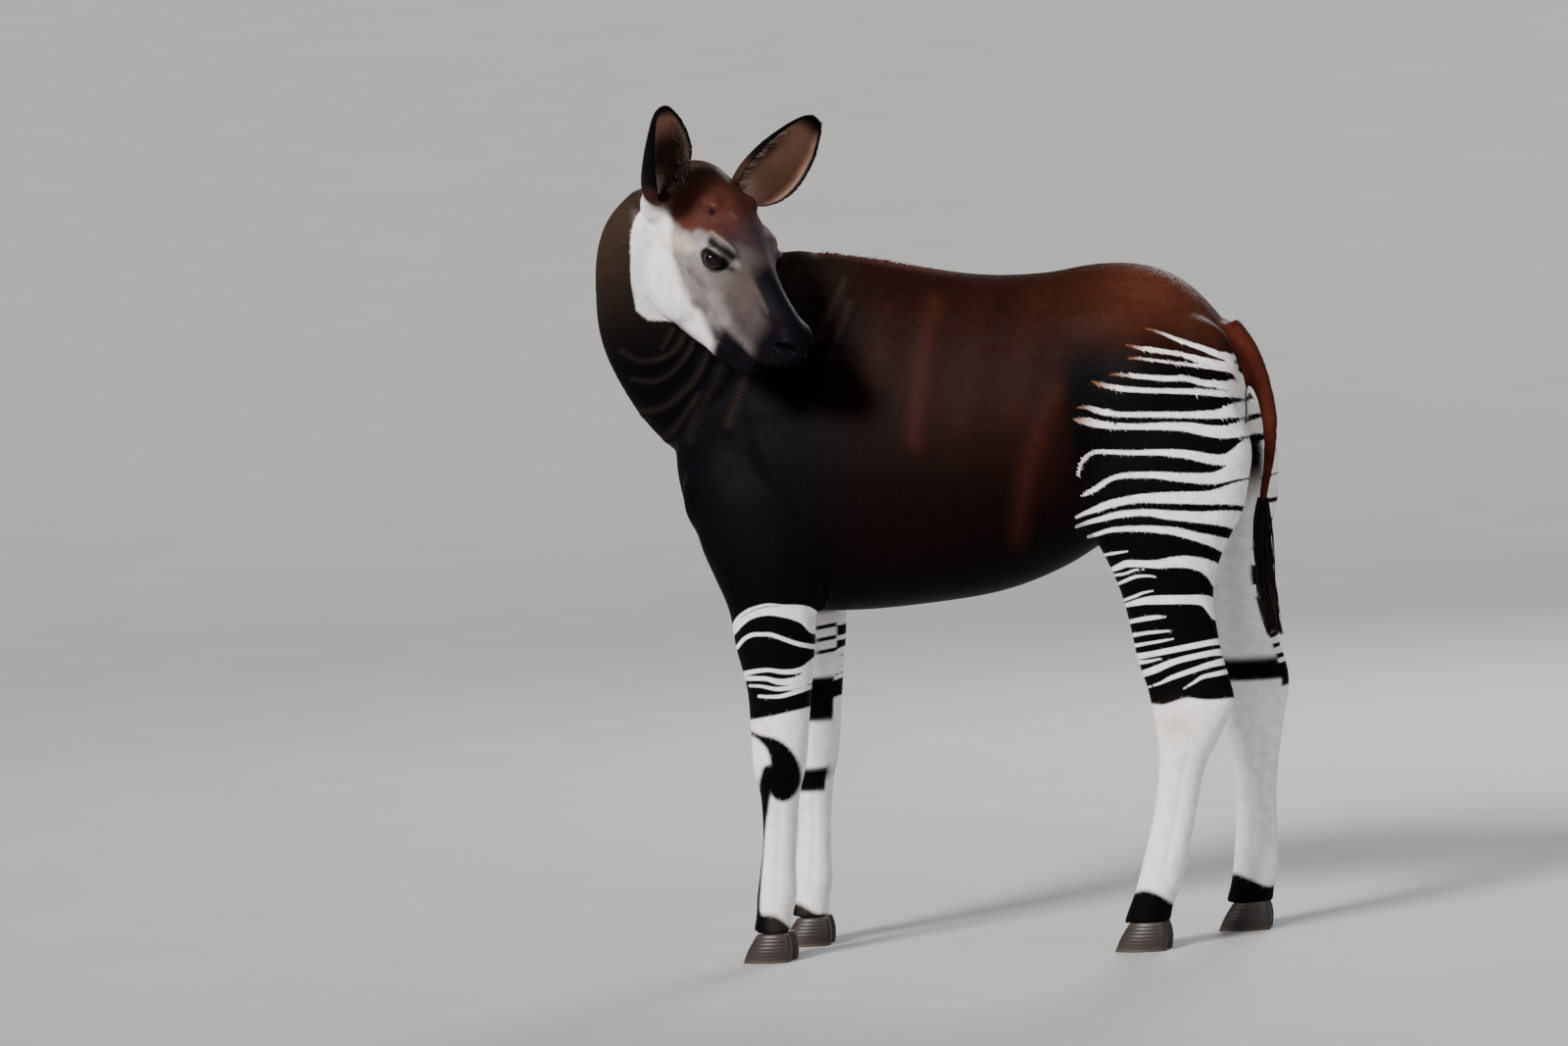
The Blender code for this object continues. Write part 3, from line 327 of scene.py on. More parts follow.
# Folds of the bent neck, the shoulder and the flank, drawn like the marks on the flat sheet: points
# as x and z, half width and height in millimetres, and the colour painted along the crest and its
# strength. That colour is a painted sheen on the crest, partly lighter hair too.
FOLDS = (
    (((-541, 1173), (-555, 1153), (-567, 1139)), 6, 2.4, "fold", 0.15),
    (((-518, 1166), (-534, 1141), (-557, 1125), (-582, 1118), (-613, 1119),
      (-643, 1139)), 8, 2.8, "fold", 0.16),
    (((-503, 1152), (-516, 1128), (-533, 1109), (-556, 1090), (-588, 1079),
      (-625, 1087)), 7, 2.6, "fold", 0.15),
    (((-477, 1128), (-494, 1097), (-514, 1071), (-541, 1049), (-573, 1030),
      (-610, 1026)), 9, 3.2, "fold", 0.16),
    (((-505, 1048), (-520, 1030), (-537, 1010), (-554, 990), (-580, 970)), 8, 2.8, "fold", 0.15),
    (((-440, 1115), (-455, 1094), (-471, 1066), (-492, 1040), (-505, 1020), (-520, 997),
      (-528, 967)), 13, 3.6, "fold", 0.1),
    (((-404, 1090), (-426, 1051), (-440, 1022), (-452, 993)), 13, 3.0, "fold", 0.15),
    (((-317, 1241), (-305, 1261), (-290, 1285)), 9, 1.8, "fold", 0.15),
    (((-269, 1140), (-254, 1174), (-227, 1217), (-214, 1243)), 11, 2.2, "fold", 0.2),
    (((-254, 1103), (-232, 1146), (-207, 1198)), 12, 2.2, "fold", 0.15),
    (((-140, 1185), (-157, 1124), (-171, 1054)), 30, 1.6, "chestnut", 0.25),
    (((-48, 1188), (-68, 1136), (-84, 1075), (-95, 1013), (-104, 943)), 28, 2.4, "chestnut_light", 0.22),
    (((39, 1200), (22, 1130), (6, 1052), (-11, 973)), 34, 1.8, "chestnut", 0.2),
    (((142, 1193), (116, 1124), (96, 1046), (84, 985)), 36, 1.6, "chestnut", 0.3),
    (((162, 1016), (129, 947), (102, 878), (83, 808), (76, 755)), 28, 3.0, "chestnut_light", 0.2),
    (((-416, 1051), (-395, 960), (-355, 868), (-288, 784)), 20, 2.2, "blue_black", 0.2),
)
# Hooves: name, x and y of the middle, length, turn in degrees
HOOVES = (
    ("fore_left", -0.450, -0.103, 1.00, -3),
    ("fore_right", -0.430, 0.103, 1.00, 3),
    ("hind_left", 0.253, -0.116, 1.04, -4),
    ("hind_right", 0.400, 0.116, 1.04, 4),
)
# Claws, in a hoof's own axes: height, toe, heel, half width, and where the middle lies from the cleft
CLAW = (
    (0.000, -0.052, 0.040, 0.0185, 0.0210),
    (0.020, -0.043, 0.043, 0.0190, 0.0208),
    (0.038, -0.032, 0.042, 0.0180, 0.0198),
    (0.052, -0.022, 0.038, 0.0168, 0.0186),
)
CLEFT = 0.0025
CLAW_PINCH = 0.30
CLAW_SQUARENESS = 0.8
# Growth rings of the horn
HORN_RING = 0.00035
HORN_RING_SPACING = 0.0065
# Nodes that the one skin stands for
FLESH_NODES = (
    "torso", "neck_lower", "neck_middle", "neck_upper", "head", "ear_left", "ear_right", "tail",
    "foreleg_left_upper", "foreleg_left_lower", "foreleg_right_upper", "foreleg_right_lower",
    "hindleg_left_upper", "hindleg_left_lower", "hindleg_right_upper", "hindleg_right_lower",
)
# Colours, as sRGB hex values
COLOURS = {
    "black": "#050406",
    "blue_black": "#050508",
    "brown_black": "#0e0504",
    "dark_brown": "#220d08",
    "chestnut": "#33180f",
    "rump": "#4a261a",
    "crown": "#3f1a13",
    "forehead": "#43221c",
    "tail": "#4a2018",
    "mane": "#4c2417",
    "grey_brown": "#4f4542",
    "cheek": "#7f7877",
    "pale": "#b3aeb0",
    "white": "#e6e3e0",
    "cream": "#c9b9a4",
    "bridge": "#443a38",
    "muzzle": "#0d0b0f",
    "lip": "#37323a",
    "neck": "#33271f",
    "ear_tan": "#84604f",
    "ear_inside": "#120c0a",
    "fringe": "#a08a7c",
    "fringe_warm": "#8a5436",
    "chestnut_light": "#4c271d",
    "stain": "#a98f70",
    "pastern": "#27221e",
    "lid": "#090707",
    # Paler margin of the lids: a painted highlight of their wet rim
    "lid_edge": "#1d1615",
    "dusk": "#352729",
    # Lighter brown on the crests of the folds: a painted sheen, partly lighter hair
    "fold": "#4a3a33",
    "eyeball": "#0b0708",
    "iris": "#160d0a",
    "pupil": "#040304",
    "horn": "#28211e",
    "worn_horn": "#4a3d33",
    "horn_crown": "#3a2f29",
    "tuft_dark": "#0d0b0c",
    "tuft_light": "#221a18",
    "mane_dark": "#2d1813",
    "mane_light": "#6b3a28",
    "ear_hair_dark": "#4a342a",
    "ear_hair_light": "#a8978a",
    "whisker": "#1c1715",
}
# White marks of the left hind leg: x, z and half width along each, in millimetres. They are drawn on
# a flat sheet beside the leg and carried onto it along the way the sheet is looked at.
HIND_MARKS = (
    ((331, 1120, 1), (365, 1107, 2.3), (389, 1095, 3.1), (414, 1085, 3.8), (438, 1075, 4.8), (462, 1064, 5.6),
     (484, 1056, 6.6)),
    ((294, 1093, 1), (314, 1086, 2.8), (339, 1081, 4.1), (388, 1070, 3.8), (412, 1062, 4.6), (436, 1054, 5.6),
     (488, 1041, 6.1)),
    ((295, 1068, 1), (313, 1067, 2), (362, 1058, 2), (387, 1053, 2.3), (411, 1049, 2.8), (460, 1039, 3.3),
     (485, 1033, 4.3), (501, 1017, 6.6)),
    ((263, 1042, 1.3), (286, 1039, 2.5), (310, 1035, 3.6), (360, 1028, 4.6), (397, 1026, 4.6),
     (422, 1018, 5.1), (446, 1013, 5.9), (471, 1009, 7.6), (495, 1008, 9.7), (508, 1005, 10.2)),
    ((227, 1031, 1), (242, 1025, 3.6), (259, 1020, 4.1), (284, 1014, 4.6), (334, 1008, 4.1), (396, 1003, 4.6),
     (445, 997, 5.1), (494, 991, 5.1), (516, 986, 6.6)),
    ((197, 986, 1), (219, 984, 3.6), (231, 979, 5.1), (256, 972, 5.1), (281, 968, 4.3), (331, 965, 4.6),
     (405, 960, 5.6), (455, 959, 8.4), (480, 963, 11.5), (517, 965, 13.2)),
    ((190, 965, 1), (210, 960, 6.1), (230, 955, 6.6), (255, 950, 5.6), (304, 945, 5.1), (354, 943, 6.4),
     (379, 941, 7.1), (404, 937, 8.9), (428, 931, 9.7), (453, 927, 10.7), (478, 927, 11.5), (523, 937, 14.8)),
    ((192, 863, 1), (197, 882, 2.5), (206, 894, 3.1), (221, 903, 3.6), (239, 904, 3.6), (289, 899, 3.8),
     (339, 897, 5.1), (388, 891, 7.1), (413, 885, 8.1), (437, 879, 8.7), (462, 877, 9.7), (482, 886, 11.5),
     (500, 895, 14), (525, 901, 14.8)),
    ((197, 827, 1.3), (209, 832, 3.6), (222, 838, 4.1), (238, 848, 4.1), (256, 856, 4.1), (279, 859, 4.6),
     (329, 857, 5.6), (378, 850, 7.6), (428, 845, 9.7), (453, 848, 11.5), (478, 857, 15.3), (523, 866, 17.8)),
    ((183, 789, 2.5), (201, 796, 3.6), (219, 801, 5.1), (245, 809, 6.6), (296, 816, 7.1), (346, 815, 9.7),
     (420, 811, 11.5), (445, 812, 14), (470, 815, 18.3), (507, 816, 21.6)),
    ((182, 772, 2.5), (205, 779, 3.6), (231, 784, 4.6), (256, 789, 5.6), (307, 791, 5.6), (356, 783, 8.1),
     (406, 777, 9.7), (455, 772, 14), (479, 766, 15.8), (504, 757, 16.5)),
    ((203, 753, 2.8), (220, 757, 3.3), (248, 763, 3.9), (302, 762, 5), (357, 755, 6.7), (410, 739, 8.3),
     (436, 730, 10.6), (463, 718, 12.5)),
    ((225, 718, 2.2), (250, 721, 2.2), (272, 723, 1)),
    ((237, 690, 3.3), (257, 697, 5.6), (271, 701, 6.1), (298, 699, 6.1), (325, 697, 7.2), (353, 699, 9.4),
     (380, 698, 10.6), (407, 691, 12.2), (425, 679, 14.4), (435, 663, 13.9)),
    ((242, 681, 2.2), (264, 683, 2.2), (284, 689, 1.7), (300, 689, 1)),
    ((247, 664, 2.2), (269, 672, 2.8), (286, 677, 2.5), (308, 677, 1.7), (320, 674, 1)),
    ((258, 635, 2.2), (281, 642, 2.5), (295, 647, 1.9), (314, 650, 1)),
    ((260, 626, 3.3), (294, 632, 6.1), (321, 633, 7.8), (376, 631, 7.8), (403, 628, 9.4), (417, 618, 11.7),
     (424, 601, 8.3)),
    ((265, 596, 3.3), (292, 600, 3.9), (314, 602, 3.6), (335, 602, 1.1)),
    ((272, 572, 3.3), (298, 575, 2.8), (323, 576, 2.2), (346, 577, 1)),
    ((273, 553, 3.3), (297, 556, 2.5), (322, 559, 2.2), (345, 562, 1)),
    ((273, 533, 5.6), (301, 536, 5), (356, 544, 5), (411, 552, 5), (430, 553, 5)),
    ((278, 522, 3.9), (300, 524, 2.5), (322, 528, 1)),
    ((279, 500, 5.6), (307, 508, 6.1), (332, 517, 5.6), (357, 524, 5), (410, 533, 5), (432, 534, 5.6)),
    ((292, 477, 1.1), (317, 484, 2.2), (339, 493, 3.9), (384, 506, 4.4), (406, 512, 5), (433, 517, 5.6)),
    ((358, 472, 1), (377, 482, 2.2), (393, 491, 3.3), (416, 495, 3.9), (439, 499, 3.9)),
)
# Lower edge of the black above the hock: x and z
HIND_BLACK_ENDS = ((292, 448), (317, 444), (336, 448), (353, 453), (369, 454), (391, 450), (418, 449),
                   (442, 451))
# Upper edge of the black of the pastern, across the leg from front to back
HIND_PASTERN = ((240, 108), (260, 113), (279, 108), (294, 100), (312, 86), (325, 79))
# White marks of the left foreleg, in the same way, and the black ones that lie on its white part
FORE_MARKS = (
    ((-471, 611, 3.9), (-466, 620, 6.7), (-456, 633, 9.4), (-435, 646, 9.7), (-403, 652, 10.6),
     (-375, 648, 11.1), (-352, 644, 13.9), (-330, 637, 17.2), (-314, 622, 19.4)),
    ((-465, 585, 3.3), (-452, 599, 3.3), (-435, 607, 3.6), (-415, 607, 3.3), (-401, 606, 3.6),
     (-384, 600, 3.6), (-365, 592, 3.6), (-345, 585, 3.9), (-317, 579, 4.4)),
    ((-458, 536, 4.4), (-434, 540, 3.9), (-408, 541, 3.3), (-386, 537, 3.9), (-363, 536, 4.4), (-343, 540, 5),
     (-328, 549, 5.6), (-317, 559, 3.9)),
    ((-457, 528, 4.4), (-435, 527, 3.9), (-412, 525, 3.9), (-393, 519, 5), (-370, 518, 6.1), (-350, 522, 6.9),
     (-335, 530, 7.8), (-319, 537, 8.3)),
    ((-446, 514, 2.2), (-424, 512, 2.5), (-399, 506, 3.3), (-379, 506, 3.9), (-359, 509, 4.4), (-339, 515, 5),
     (-320, 522, 3.9)),
    ((-430, 494, 2.5), (-409, 492, 2.8), (-389, 492, 3.3), (-366, 497, 3.9), (-343, 503, 3.9),
     (-321, 510, 3.3)),
)
FORE_ARCH_LINE = (((-455, 640, 1), (-431, 651, 1.4), (-405, 657, 1.4), (-378, 657, 1)),)
FORE_BLACK_ENDS = ((-457, 450), (-426, 454), (-403, 457), (-377, 462), (-354, 466), (-329, 472))
KNEE_PATCH = (
    ((-452, 428, 4.4), (-434, 418, 6.1), (-412, 404, 13.9), (-397, 384, 22.2), (-390, 361, 27.8),
     (-391, 339, 30.5), (-398, 323, 25)),
    ((-419, 352, 16.7), (-429, 330, 13.9), (-433, 311, 11.1), (-437, 280, 8.3)),
)
CANNON_LINE = (
    ((-431, 318, 10.4), (-436, 286, 7.5), (-443, 240, 6.6), (-450, 194, 6.6), (-459, 137, 7), (-463, 102, 7),
     (-465, 79, 13.9)),
)
FORE_PASTERN = ((-466, 98), (-452, 94), (-428, 90), (-406, 72), (-393, 52))
# Inner side of a foreleg: heights of its black bands, and of the short nicks at its back edge
FORE_INNER_BANDS = ((0.422, 0.505), (0.290, 0.336))
FORE_INNER_NICKS = (0.552, 0.575, 0.598)
# Softness of the stripes' edges, and how a leg's outer side is told: shares of the ways back and out
STRIPE_EDGE = 1.4 * MM
FACING = (0.26, 0.96)
SHEET_Y = -0.15
SHEET_EYE = (2.102, -9.337, 1.307)
# Edges on the side of the head, in its own axes as x and z: the lower edge of the white behind the
# cheek and under it, of the chestnut of crown and brow, and of the grey cheek over the white jaw
THROAT_WHITE = ((-40, 45), (-4, 30), (4, -26), (21, -61), (45, -98), (67, -144), (94, -188),
                (114, -193), (134, -176), (155, -140))
CROWN_EDGE = ((-40, 30), (20, 24), (48, 16), (78, 13), (106, 22), (131, 44), (155, 55), (176, 64), (240, 72))
CHEEK_EDGE = ((-40, 60), (40, 34), (65, 14), (87, 0), (120, -33), (176, -64), (206, -76), (246, -84),
              (300, -90))
# Spots and lines of the face: points in the head's axes, half width, colour and strength
FACE_SPOTS = (
    (((236, 60, -22), (272, 50, -38)), 17, "pale", 0.22),
    (((104, 80, -4), (136, 86, 12)), 15, "cream", 0.55),
    (((150, 84, 20), (166, 80, 30)), 10, "pale", 0.35),
    (((172, 83, -14), (204, 76, -18)), 11, "grey_brown", 0.5),
    (((200, 62, -66), (228, 58, -62)), 10, "grey_brown", 0.6),
    (((292, 46, -14), (312, 44, -22)), 11, "bridge", 0.5),
    (((98, 80, 32), (118, 76, 36)), 9, "chestnut_light", 0.8),
    (((84, 70, 58), (94, 66, 64)), 19, "dark_brown", 0.2),
    (((117, 56, 80), (121, 53, 78)), 6, "black", 0.85),
    # A small pale fleck on a swelling of the crown: a painted highlight
    (((108, 53, 88), (112, 51, 89)), 3.0, "fringe", 0.14),
    # A small pale fleck on the other swelling of the crown: a painted highlight
    (((136, 30, 93), (150, 25, 92)), 4.5, "cheek", 0.1),
    (((152, 68, 62), (172, 68, 67), (187, 65, 70), (200, 59, 71), (214, 50, 70)), 3.0, "fringe", 0.45),
    (((165, 68, 49), (180, 68, 53), (194, 66, 57), (204, 59, 58), (213, 53, 57)), 9.5, "black", 0.97),
    (((262, 22, 60), (285, 13, 61)), 2.0, "fringe", 0.4),
)
# Half length and half height of the dark skin round an eye
DARK_ROUND_EYE = (0.0305, 0.0165)
# Coat: for each kind of part the distance between tufts, their length, width and thickness in
# millimetres, and how far they lift off the skin in degrees
COAT = {
    "trunk": (5.4, 13, 3.0, 0.6, 2.6),
    "neck": (4.6, 10, 2.4, 0.5, 2.6),
    "head": (2.9, 5.5, 1.4, 0.35, 3),
    "foreleg": (3.5, 7.0, 1.8, 0.4, 3),
    "hindleg": (3.7, 7.5, 1.9, 0.42, 3),
    "ear": (2.9, 5.5, 1.4, 0.3, 3),
    "tail": (3.4, 12, 1.9, 0.5, 5),
}
COAT_PIECES = (
    ("coat_trunk_left", "hair_body", ("trunk",), -1),
    ("coat_trunk_right", "hair_body", ("trunk",), 1),
    ("coat_neck", "hair_neck", ("neck",), 0),
    ("coat_head", "hair_head", ("head",), 0),
    ("coat_forelegs", "hair_legs", ("foreleg_left", "foreleg_right"), 0),
    ("coat_hindleg_left", "hair_legs", ("hindleg_left",), 0),
    ("coat_hindleg_right", "hair_legs", ("hindleg_right",), 0),
    ("coat_ears", "hair_ear", ("ear_left", "ear_right"), 0),
    ("coat_tail", "hair_tail", ("tail",), 0),
)
# Candidate roots for each cell of the even grid that the tufts are spread by, and that grid's reach
SEEDS = 2.6
GRID = 20000
# How much smaller a tuft is on the face: spacing, then length, width, thickness and lift
FACE_SPACING = 0.25
FACE_TUFTS = (0.30, 0.25, 0.25, 0.2)
LIPS_SHORTER = 0.35
# Patches of a coat that lies a little lighter or darker: how many in 100 mm
COAT_PATCHES = 5.5
# The hair's way on the trunk: back and down
TRUNK_HAIR = (1.0, 0.0, -0.5)
# Width of a tuft's patch on the map for baking its colours
PATCH = 0.003
# Faces of a tuft over its left and right root, ridge and tip; the first is its underside
TUFT_FACES = ((1, 0, 3), (0, 2, 3), (2, 1, 3), (0, 1, 2))
# Camera: how far round and above the animal's left side it stands, its roll, distance and aim
CAMERA_TURN = math.radians(15)
CAMERA_RISE = math.radians(3)
CAMERA_ROLL = math.radians(4)
CAMERA_AWAY = 9.68
CAMERA_AIM = (-0.40, 0.0, 0.80)
LENS = 120
SENSOR = 36
LIT_POINT = Vector((0, 0, 0.8))
# Floor: flat out to here, how softly it then bends, and its slope far away
FLOOR_FLAT = 10.0
FLOOR_BEND = 4.0
FLOOR_SLOPE = 0.24
# Radii of its rings, and clouds of its paint in 1000 mm
FLOOR_CLOUDS = 1.5
FLOOR_RINGS = (0.001, 4, 8, 10, 12, 14, 16, 18, 20, 24, 30, 40, 70)


def linear(code):
    """An sRGB hex value as linear red, green and blue."""
    parts = [int(code[k:k + 2], 16) / 255 for k in (1, 3, 5)]
    return np.array([c / 12.92 if c <= 0.04045 else ((c + 0.055) / 1.055) ** 2.4 for c in parts])


def smooth_rows(rows, per_span):
    """The rows of a table with more between them, on a smooth curve through each column."""
    table = np.array(rows, float)
    last = len(table) - 1
    made = []
    for i in range(last):
        before, start = table[max(i - 1, 0)], table[i]
        end, after = table[i + 1], table[min(i + 2, last)]
        for t in np.arange(per_span) / per_span:
            made.append(
                0.5 * (
                    2 * start
                    + (end - before) * t
                    + (2 * before - 5 * start + 4 * end - after) * t**2
                    + (3 * start - before - 3 * end + after) * t**3
                )
            )
    made.append(table[last])
    return np.array(made)


def ramp(value, low, high):
    """0 below low, 1 above high and a soft step between."""
    t = np.clip((value - low) / (high - low), 0, 1)
    return t * t * (3 - 2 * t)


def bell(*steps):
    """1 where every step is 0, falling softly away over a step of 1."""
    return np.exp(-sum(step**2 for step in steps))


def unit(vectors):
    """Vectors made one long."""
    return vectors / np.maximum(np.linalg.norm(vectors, axis=-1, keepdims=True), 1e-9)


def oval(middle, side, up, half_side, rise, drop, narrow=0.0, sides=FORM_SIDES):
    """A closed ring of points with its own height above and below the middle."""
    turn = np.linspace(0, 2 * math.pi, sides, endpoint=False)
    across, along = np.cos(turn), np.sin(turn)
    wide = half_side * across * (1 - narrow * along)
    high = np.where(along > 0, rise, drop) * along
    return np.array(middle) + np.outer(wide, np.array(side)) + np.outer(high, np.array(up))


def grid_faces(rows, steps, closed=False):
    """Quads between closed rings of points. Where closed, the last ring meets the first."""
    r, k = np.divmod(np.arange((rows if closed else rows - 1) * steps), steps)
    here, there, after = r * steps, (r + 1) % rows * steps, (k + 1) % steps
    return np.stack([here + k, here + after, there + after, there + k], axis=1)


def lofted(rings):
    """Points and faces of a closed form through rings of points, with a fan over each end."""
    count, sides = len(rings), len(rings[0])
    points = np.concatenate(list(rings) + [[rings[0].mean(0), rings[-1].mean(0)]])
    faces = grid_faces(count, sides).tolist()
    first, second, end = count * sides, count * sides + 1, (count - 1) * sides
    faces += [(first, (k + 1) % sides, k) for k in range(sides)]
    faces += [(second, end + k, end + (k + 1) % sides) for k in range(sides)]
    return points, faces


def ellipsoid(middle, radii, turn=(0, 0, 0), sides=40):
    """Points and faces of an ellipsoid, turned about x, then y, then z in degrees."""
    a, b, c = (math.radians(t) for t in turn)
    turned = np.array(Matrix.Rotation(c, 3, "Z") @ Matrix.Rotation(b, 3, "Y") @ Matrix.Rotation(a, 3, "X"))
    rings = []
    for height in np.linspace(-0.5, 0.5, sides // 2 + 1)[1:-1] * math.pi:
        ring = oval((0, 0, math.sin(height)), (1, 0, 0), (0, 1, 0), *(math.cos(height),) * 3, sides=sides)
        rings.append(ring)
    points, faces = lofted(rings)
    points[-2], points[-1] = (0, 0, -1), (0, 0, 1)
    return points * np.array(radii) @ turned.T + np.array(middle), faces


def head_matrix():
    """Places the head's own axes in the body's."""
    turn = (
        Matrix.Rotation(math.radians(HEAD_HEADING), 4, "Z")
        @ Matrix.Rotation(math.radians(HEAD_PITCH), 4, "Y")
        @ Matrix.Rotation(math.radians(HEAD_ROLL), 4, "X")
    )
    return Matrix.Translation(HEAD_ROOT) @ turn


def from_head(points):
    """Points of the head's axes in the body's."""
    return np.asarray(points) @ HEAD_TURN.T + HEAD_START


def to_head(points):
    """Points of the body's axes in the head's."""
    return (np.asarray(points) - HEAD_START) @ HEAD_TURN


def upright_rings(rows, per_span):
    """Sections across X from rows of x, top, bottom, y, half width and narrowing."""
    rings = []
    for x, top, bottom, y, half, narrow in smooth_rows(rows, per_span):
        high = (top - bottom) / 2
        rings.append(oval((x, y, bottom + high), (0, 1, 0), (0, 0, 1), half, high, high, narrow))
    return rings


def set_back(z, back):
    """How far a leg lies behind its table at a height, for a foot that is set back."""
    return back * np.maximum(0, 1 - z / SET_BACK_BELOW)


def leg_rings(rows, side, back):
    """Level sections of a leg, down to the coronet."""
    table = smooth_rows(rows, 5)
    rings = []
    for z, front, rear, y, half in table[table[:, 0] >= CORONET - 0.003]:
        reach = (rear - front) / 2
        middle = (front + reach + set_back(z, back), side * y, z)
        rings.append(oval(middle, (0, side, 0), (-1, 0, 0), half, reach, reach))
    return rings


def curve_rings(rows, per_span=4, sides=24):
    """Round sections along a curve of x, y, z and radius."""
    table = smooth_rows(rows, per_span)
    ways = unit(np.gradient(table[:, :3], axis=0))
    rings = []
    for row, way in zip(table, ways):
        up = unit(np.array((1.0, 0, 0)) - way * way[0])
        rings.append(oval(row[:3], np.cross(up, way), up, *(row[3],) * 3, sides=sides))
    return rings


def neck_rings():
    """Sections of the neck, each square to its line and turned toward the nape."""
    rows = smooth_rows(NECK, 8)
    ways = unit(np.gradient(rows[:, :3], axis=0))
    rings = []
    for row, way in zip(rows, ways):
        nape = unit(row[3:6] - way * (row[3:6] @ way))
        rings.append(oval(row[:3], np.cross(nape, way), nape, *row[6:9]))
    return rings


def ear_axes(way, opening):
    """An ear's own ways in the head's axes: toward its tip, across it and out of its cup."""
    way = unit(np.array(way))
    opening = np.array(opening)
    opening = unit(opening - way * (opening @ way))
    return way, np.cross(way, opening), opening


def ear_section(share):
    """Radius of an ear's cup, half of its sweep and its bend, at a share of its length."""
    table = np.array(EAR_ROWS)
    radius, sweep, bend = (np.interp(share, table[:, 0], table[:, k]) for k in (1, 2, 4))
    return radius, np.radians(sweep) / 2, bend


def ear_rings(root, way, opening):
    """Rings that go round the back of the ear and return inside its cup."""
    way, side, opening = ear_axes(way, opening)
    half = 36
    rings = []
    for share, radius, sweep, depth, bend in smooth_rows(EAR_ROWS, 4):
        arc = np.radians(np.linspace(-sweep / 2, sweep / 2, half))
        outer = np.stack([np.sin(arc), -np.cos(arc)], axis=1)
        inner = outer * (radius - EAR_WALL)
        lip = -radius * math.cos(math.radians(sweep / 2)) - EAR_LIP
        flat = np.stack([inner[:, 0] * 0.9, np.full(half, lip)], axis=1)
        inner = flat + (inner - flat) * min(1.0, max(0.0, depth))
        ring = np.concatenate([outer * radius, inner[::-1]])
        middle = np.array(root) + way * share * EAR_LENGTH
        rings.append(middle + np.outer(ring[:, 0], side) + np.outer(ring[:, 1] - bend, opening))
    return rings


def flesh_forms():
    """All forms of the flesh, each as points and faces in the body's axes."""
    made = [lofted(upright_rings(TRUNK, 5)), lofted(neck_rings()), lofted(curve_rings(TAIL))]
    made += [lofted(leg_rings(rows, side, back)) for _, rows, side, back in LEGS]
    head = []
    for rows in (SKULL, JAW):
        rows = [(x, top, low, 0, half, thin) for x, top, low, half, thin in rows]
        head.append(lofted(upright_rings(rows, 5)))
    head += [lofted(ear_rings(*row[1:])) for row in EARS]
    for side in (-1, 1):
        for forms, muscles in ((made, MUSCLES), (head, HEAD_MUSCLES)):
            for (x, y, z), radii, (a, b, c) in muscles:
                forms.append(ellipsoid((x, side * y, z), radii, (-side * a, b, side * c)))
        head.append(ellipsoid((EYE[0], side * EYE[1], EYE[2]), (EYE_RADIUS + LID_THICKNESS,) * 3))
    return made + [(from_head(points), faces) for points, faces in head]


def enlarged(points):
    """Space drawn out round the head, so that an even grid is finer there."""
    away = points - HEAD_MIDDLE
    far = np.linalg.norm(away, axis=1, keepdims=True)
    grown = np.where(far < HEAD_REACH, far * HEAD_ENLARGED, far + HEAD_REACH * (HEAD_ENLARGED - 1))
    return HEAD_MIDDLE + away * grown / np.maximum(far, 1e-9)


def restored(points):
    """Undoes enlarged."""
    away = points - HEAD_MIDDLE
    far = np.linalg.norm(away, axis=1, keepdims=True)
    near = far < HEAD_REACH * HEAD_ENLARGED
    shrunk = np.where(near, far / HEAD_ENLARGED, far - HEAD_REACH * (HEAD_ENLARGED - 1))
    return HEAD_MIDDLE + away * shrunk / np.maximum(far, 1e-9)


def mesh_from(name, points, faces):
    """A mesh of faces with any number of corners."""
    mesh = bpy.data.meshes.new(name)
    mesh.from_pydata([tuple(p) for p in points], [], faces)
    return mesh


def linked(name, data):
    """A new object in the scene, of a mesh, camera or light."""
    made = bpy.data.objects.new(name, data)
    bpy.context.scene.collection.objects.link(made)
    return made


def fused(forms):
    """One closed surface round all of the forms: its points and its quads."""
    points, faces, start = [], [], 0
    for some, rings in forms:
        points.append(some)
        faces += [tuple(i + start for i in face) for face in rings]
        start += len(some)
    mesh = mesh_from("flesh", enlarged(np.concatenate(points)), faces)
    work = bmesh.new()
    work.from_mesh(mesh)
    bmesh.ops.recalc_face_normals(work, faces=work.faces)
    work.to_mesh(mesh)
    work.free()
    flesh = linked("flesh", mesh)
    remesh = flesh.modifiers.new("fuse", "REMESH")
    remesh.mode = "VOXEL"
    remesh.voxel_size = VOXEL
    shape = flesh.evaluated_get(bpy.context.evaluated_depsgraph_get()).to_mesh()
    found = np.empty(len(shape.vertices) * 3)
    shape.vertices.foreach_get("co", found)
    corners = np.empty(len(shape.loops), np.int64)
    shape.loops.foreach_get("vertex_index", corners)
    bpy.data.objects.remove(flesh)
    return restored(found.reshape(-1, 3)), corners.reshape(-1, 4)


def outermost(points, quads):
    """Keeps only the surface that holds the highest point, and drops any hollow inside."""
    label = np.arange(len(points))
    edges = edges_of(quads)
    while True:
        low = np.minimum(label[edges[:, 0]], label[edges[:, 1]])
        after = label.copy()
        np.minimum.at(after, edges[:, 0], low)
        np.minimum.at(after, edges[:, 1], low)
        after = after[after]
        if np.array_equal(after, label):
            break
        label = after
    kept = label == label[np.argmax(points[:, 2])]
    index = np.cumsum(kept) - 1
    return points[kept], index[quads[kept[quads[:, 0]]]]


def edges_of(quads):
    """Every edge of the faces once."""
    corners = quads.shape[1]
    edges = np.sort(np.concatenate([quads[:, (k, (k + 1) % corners)] for k in range(corners)]), axis=1)
    size = edges.max() + 1
    key = np.unique(edges[:, 0] * size + edges[:, 1])
    return np.stack([key // size, key % size], axis=1)


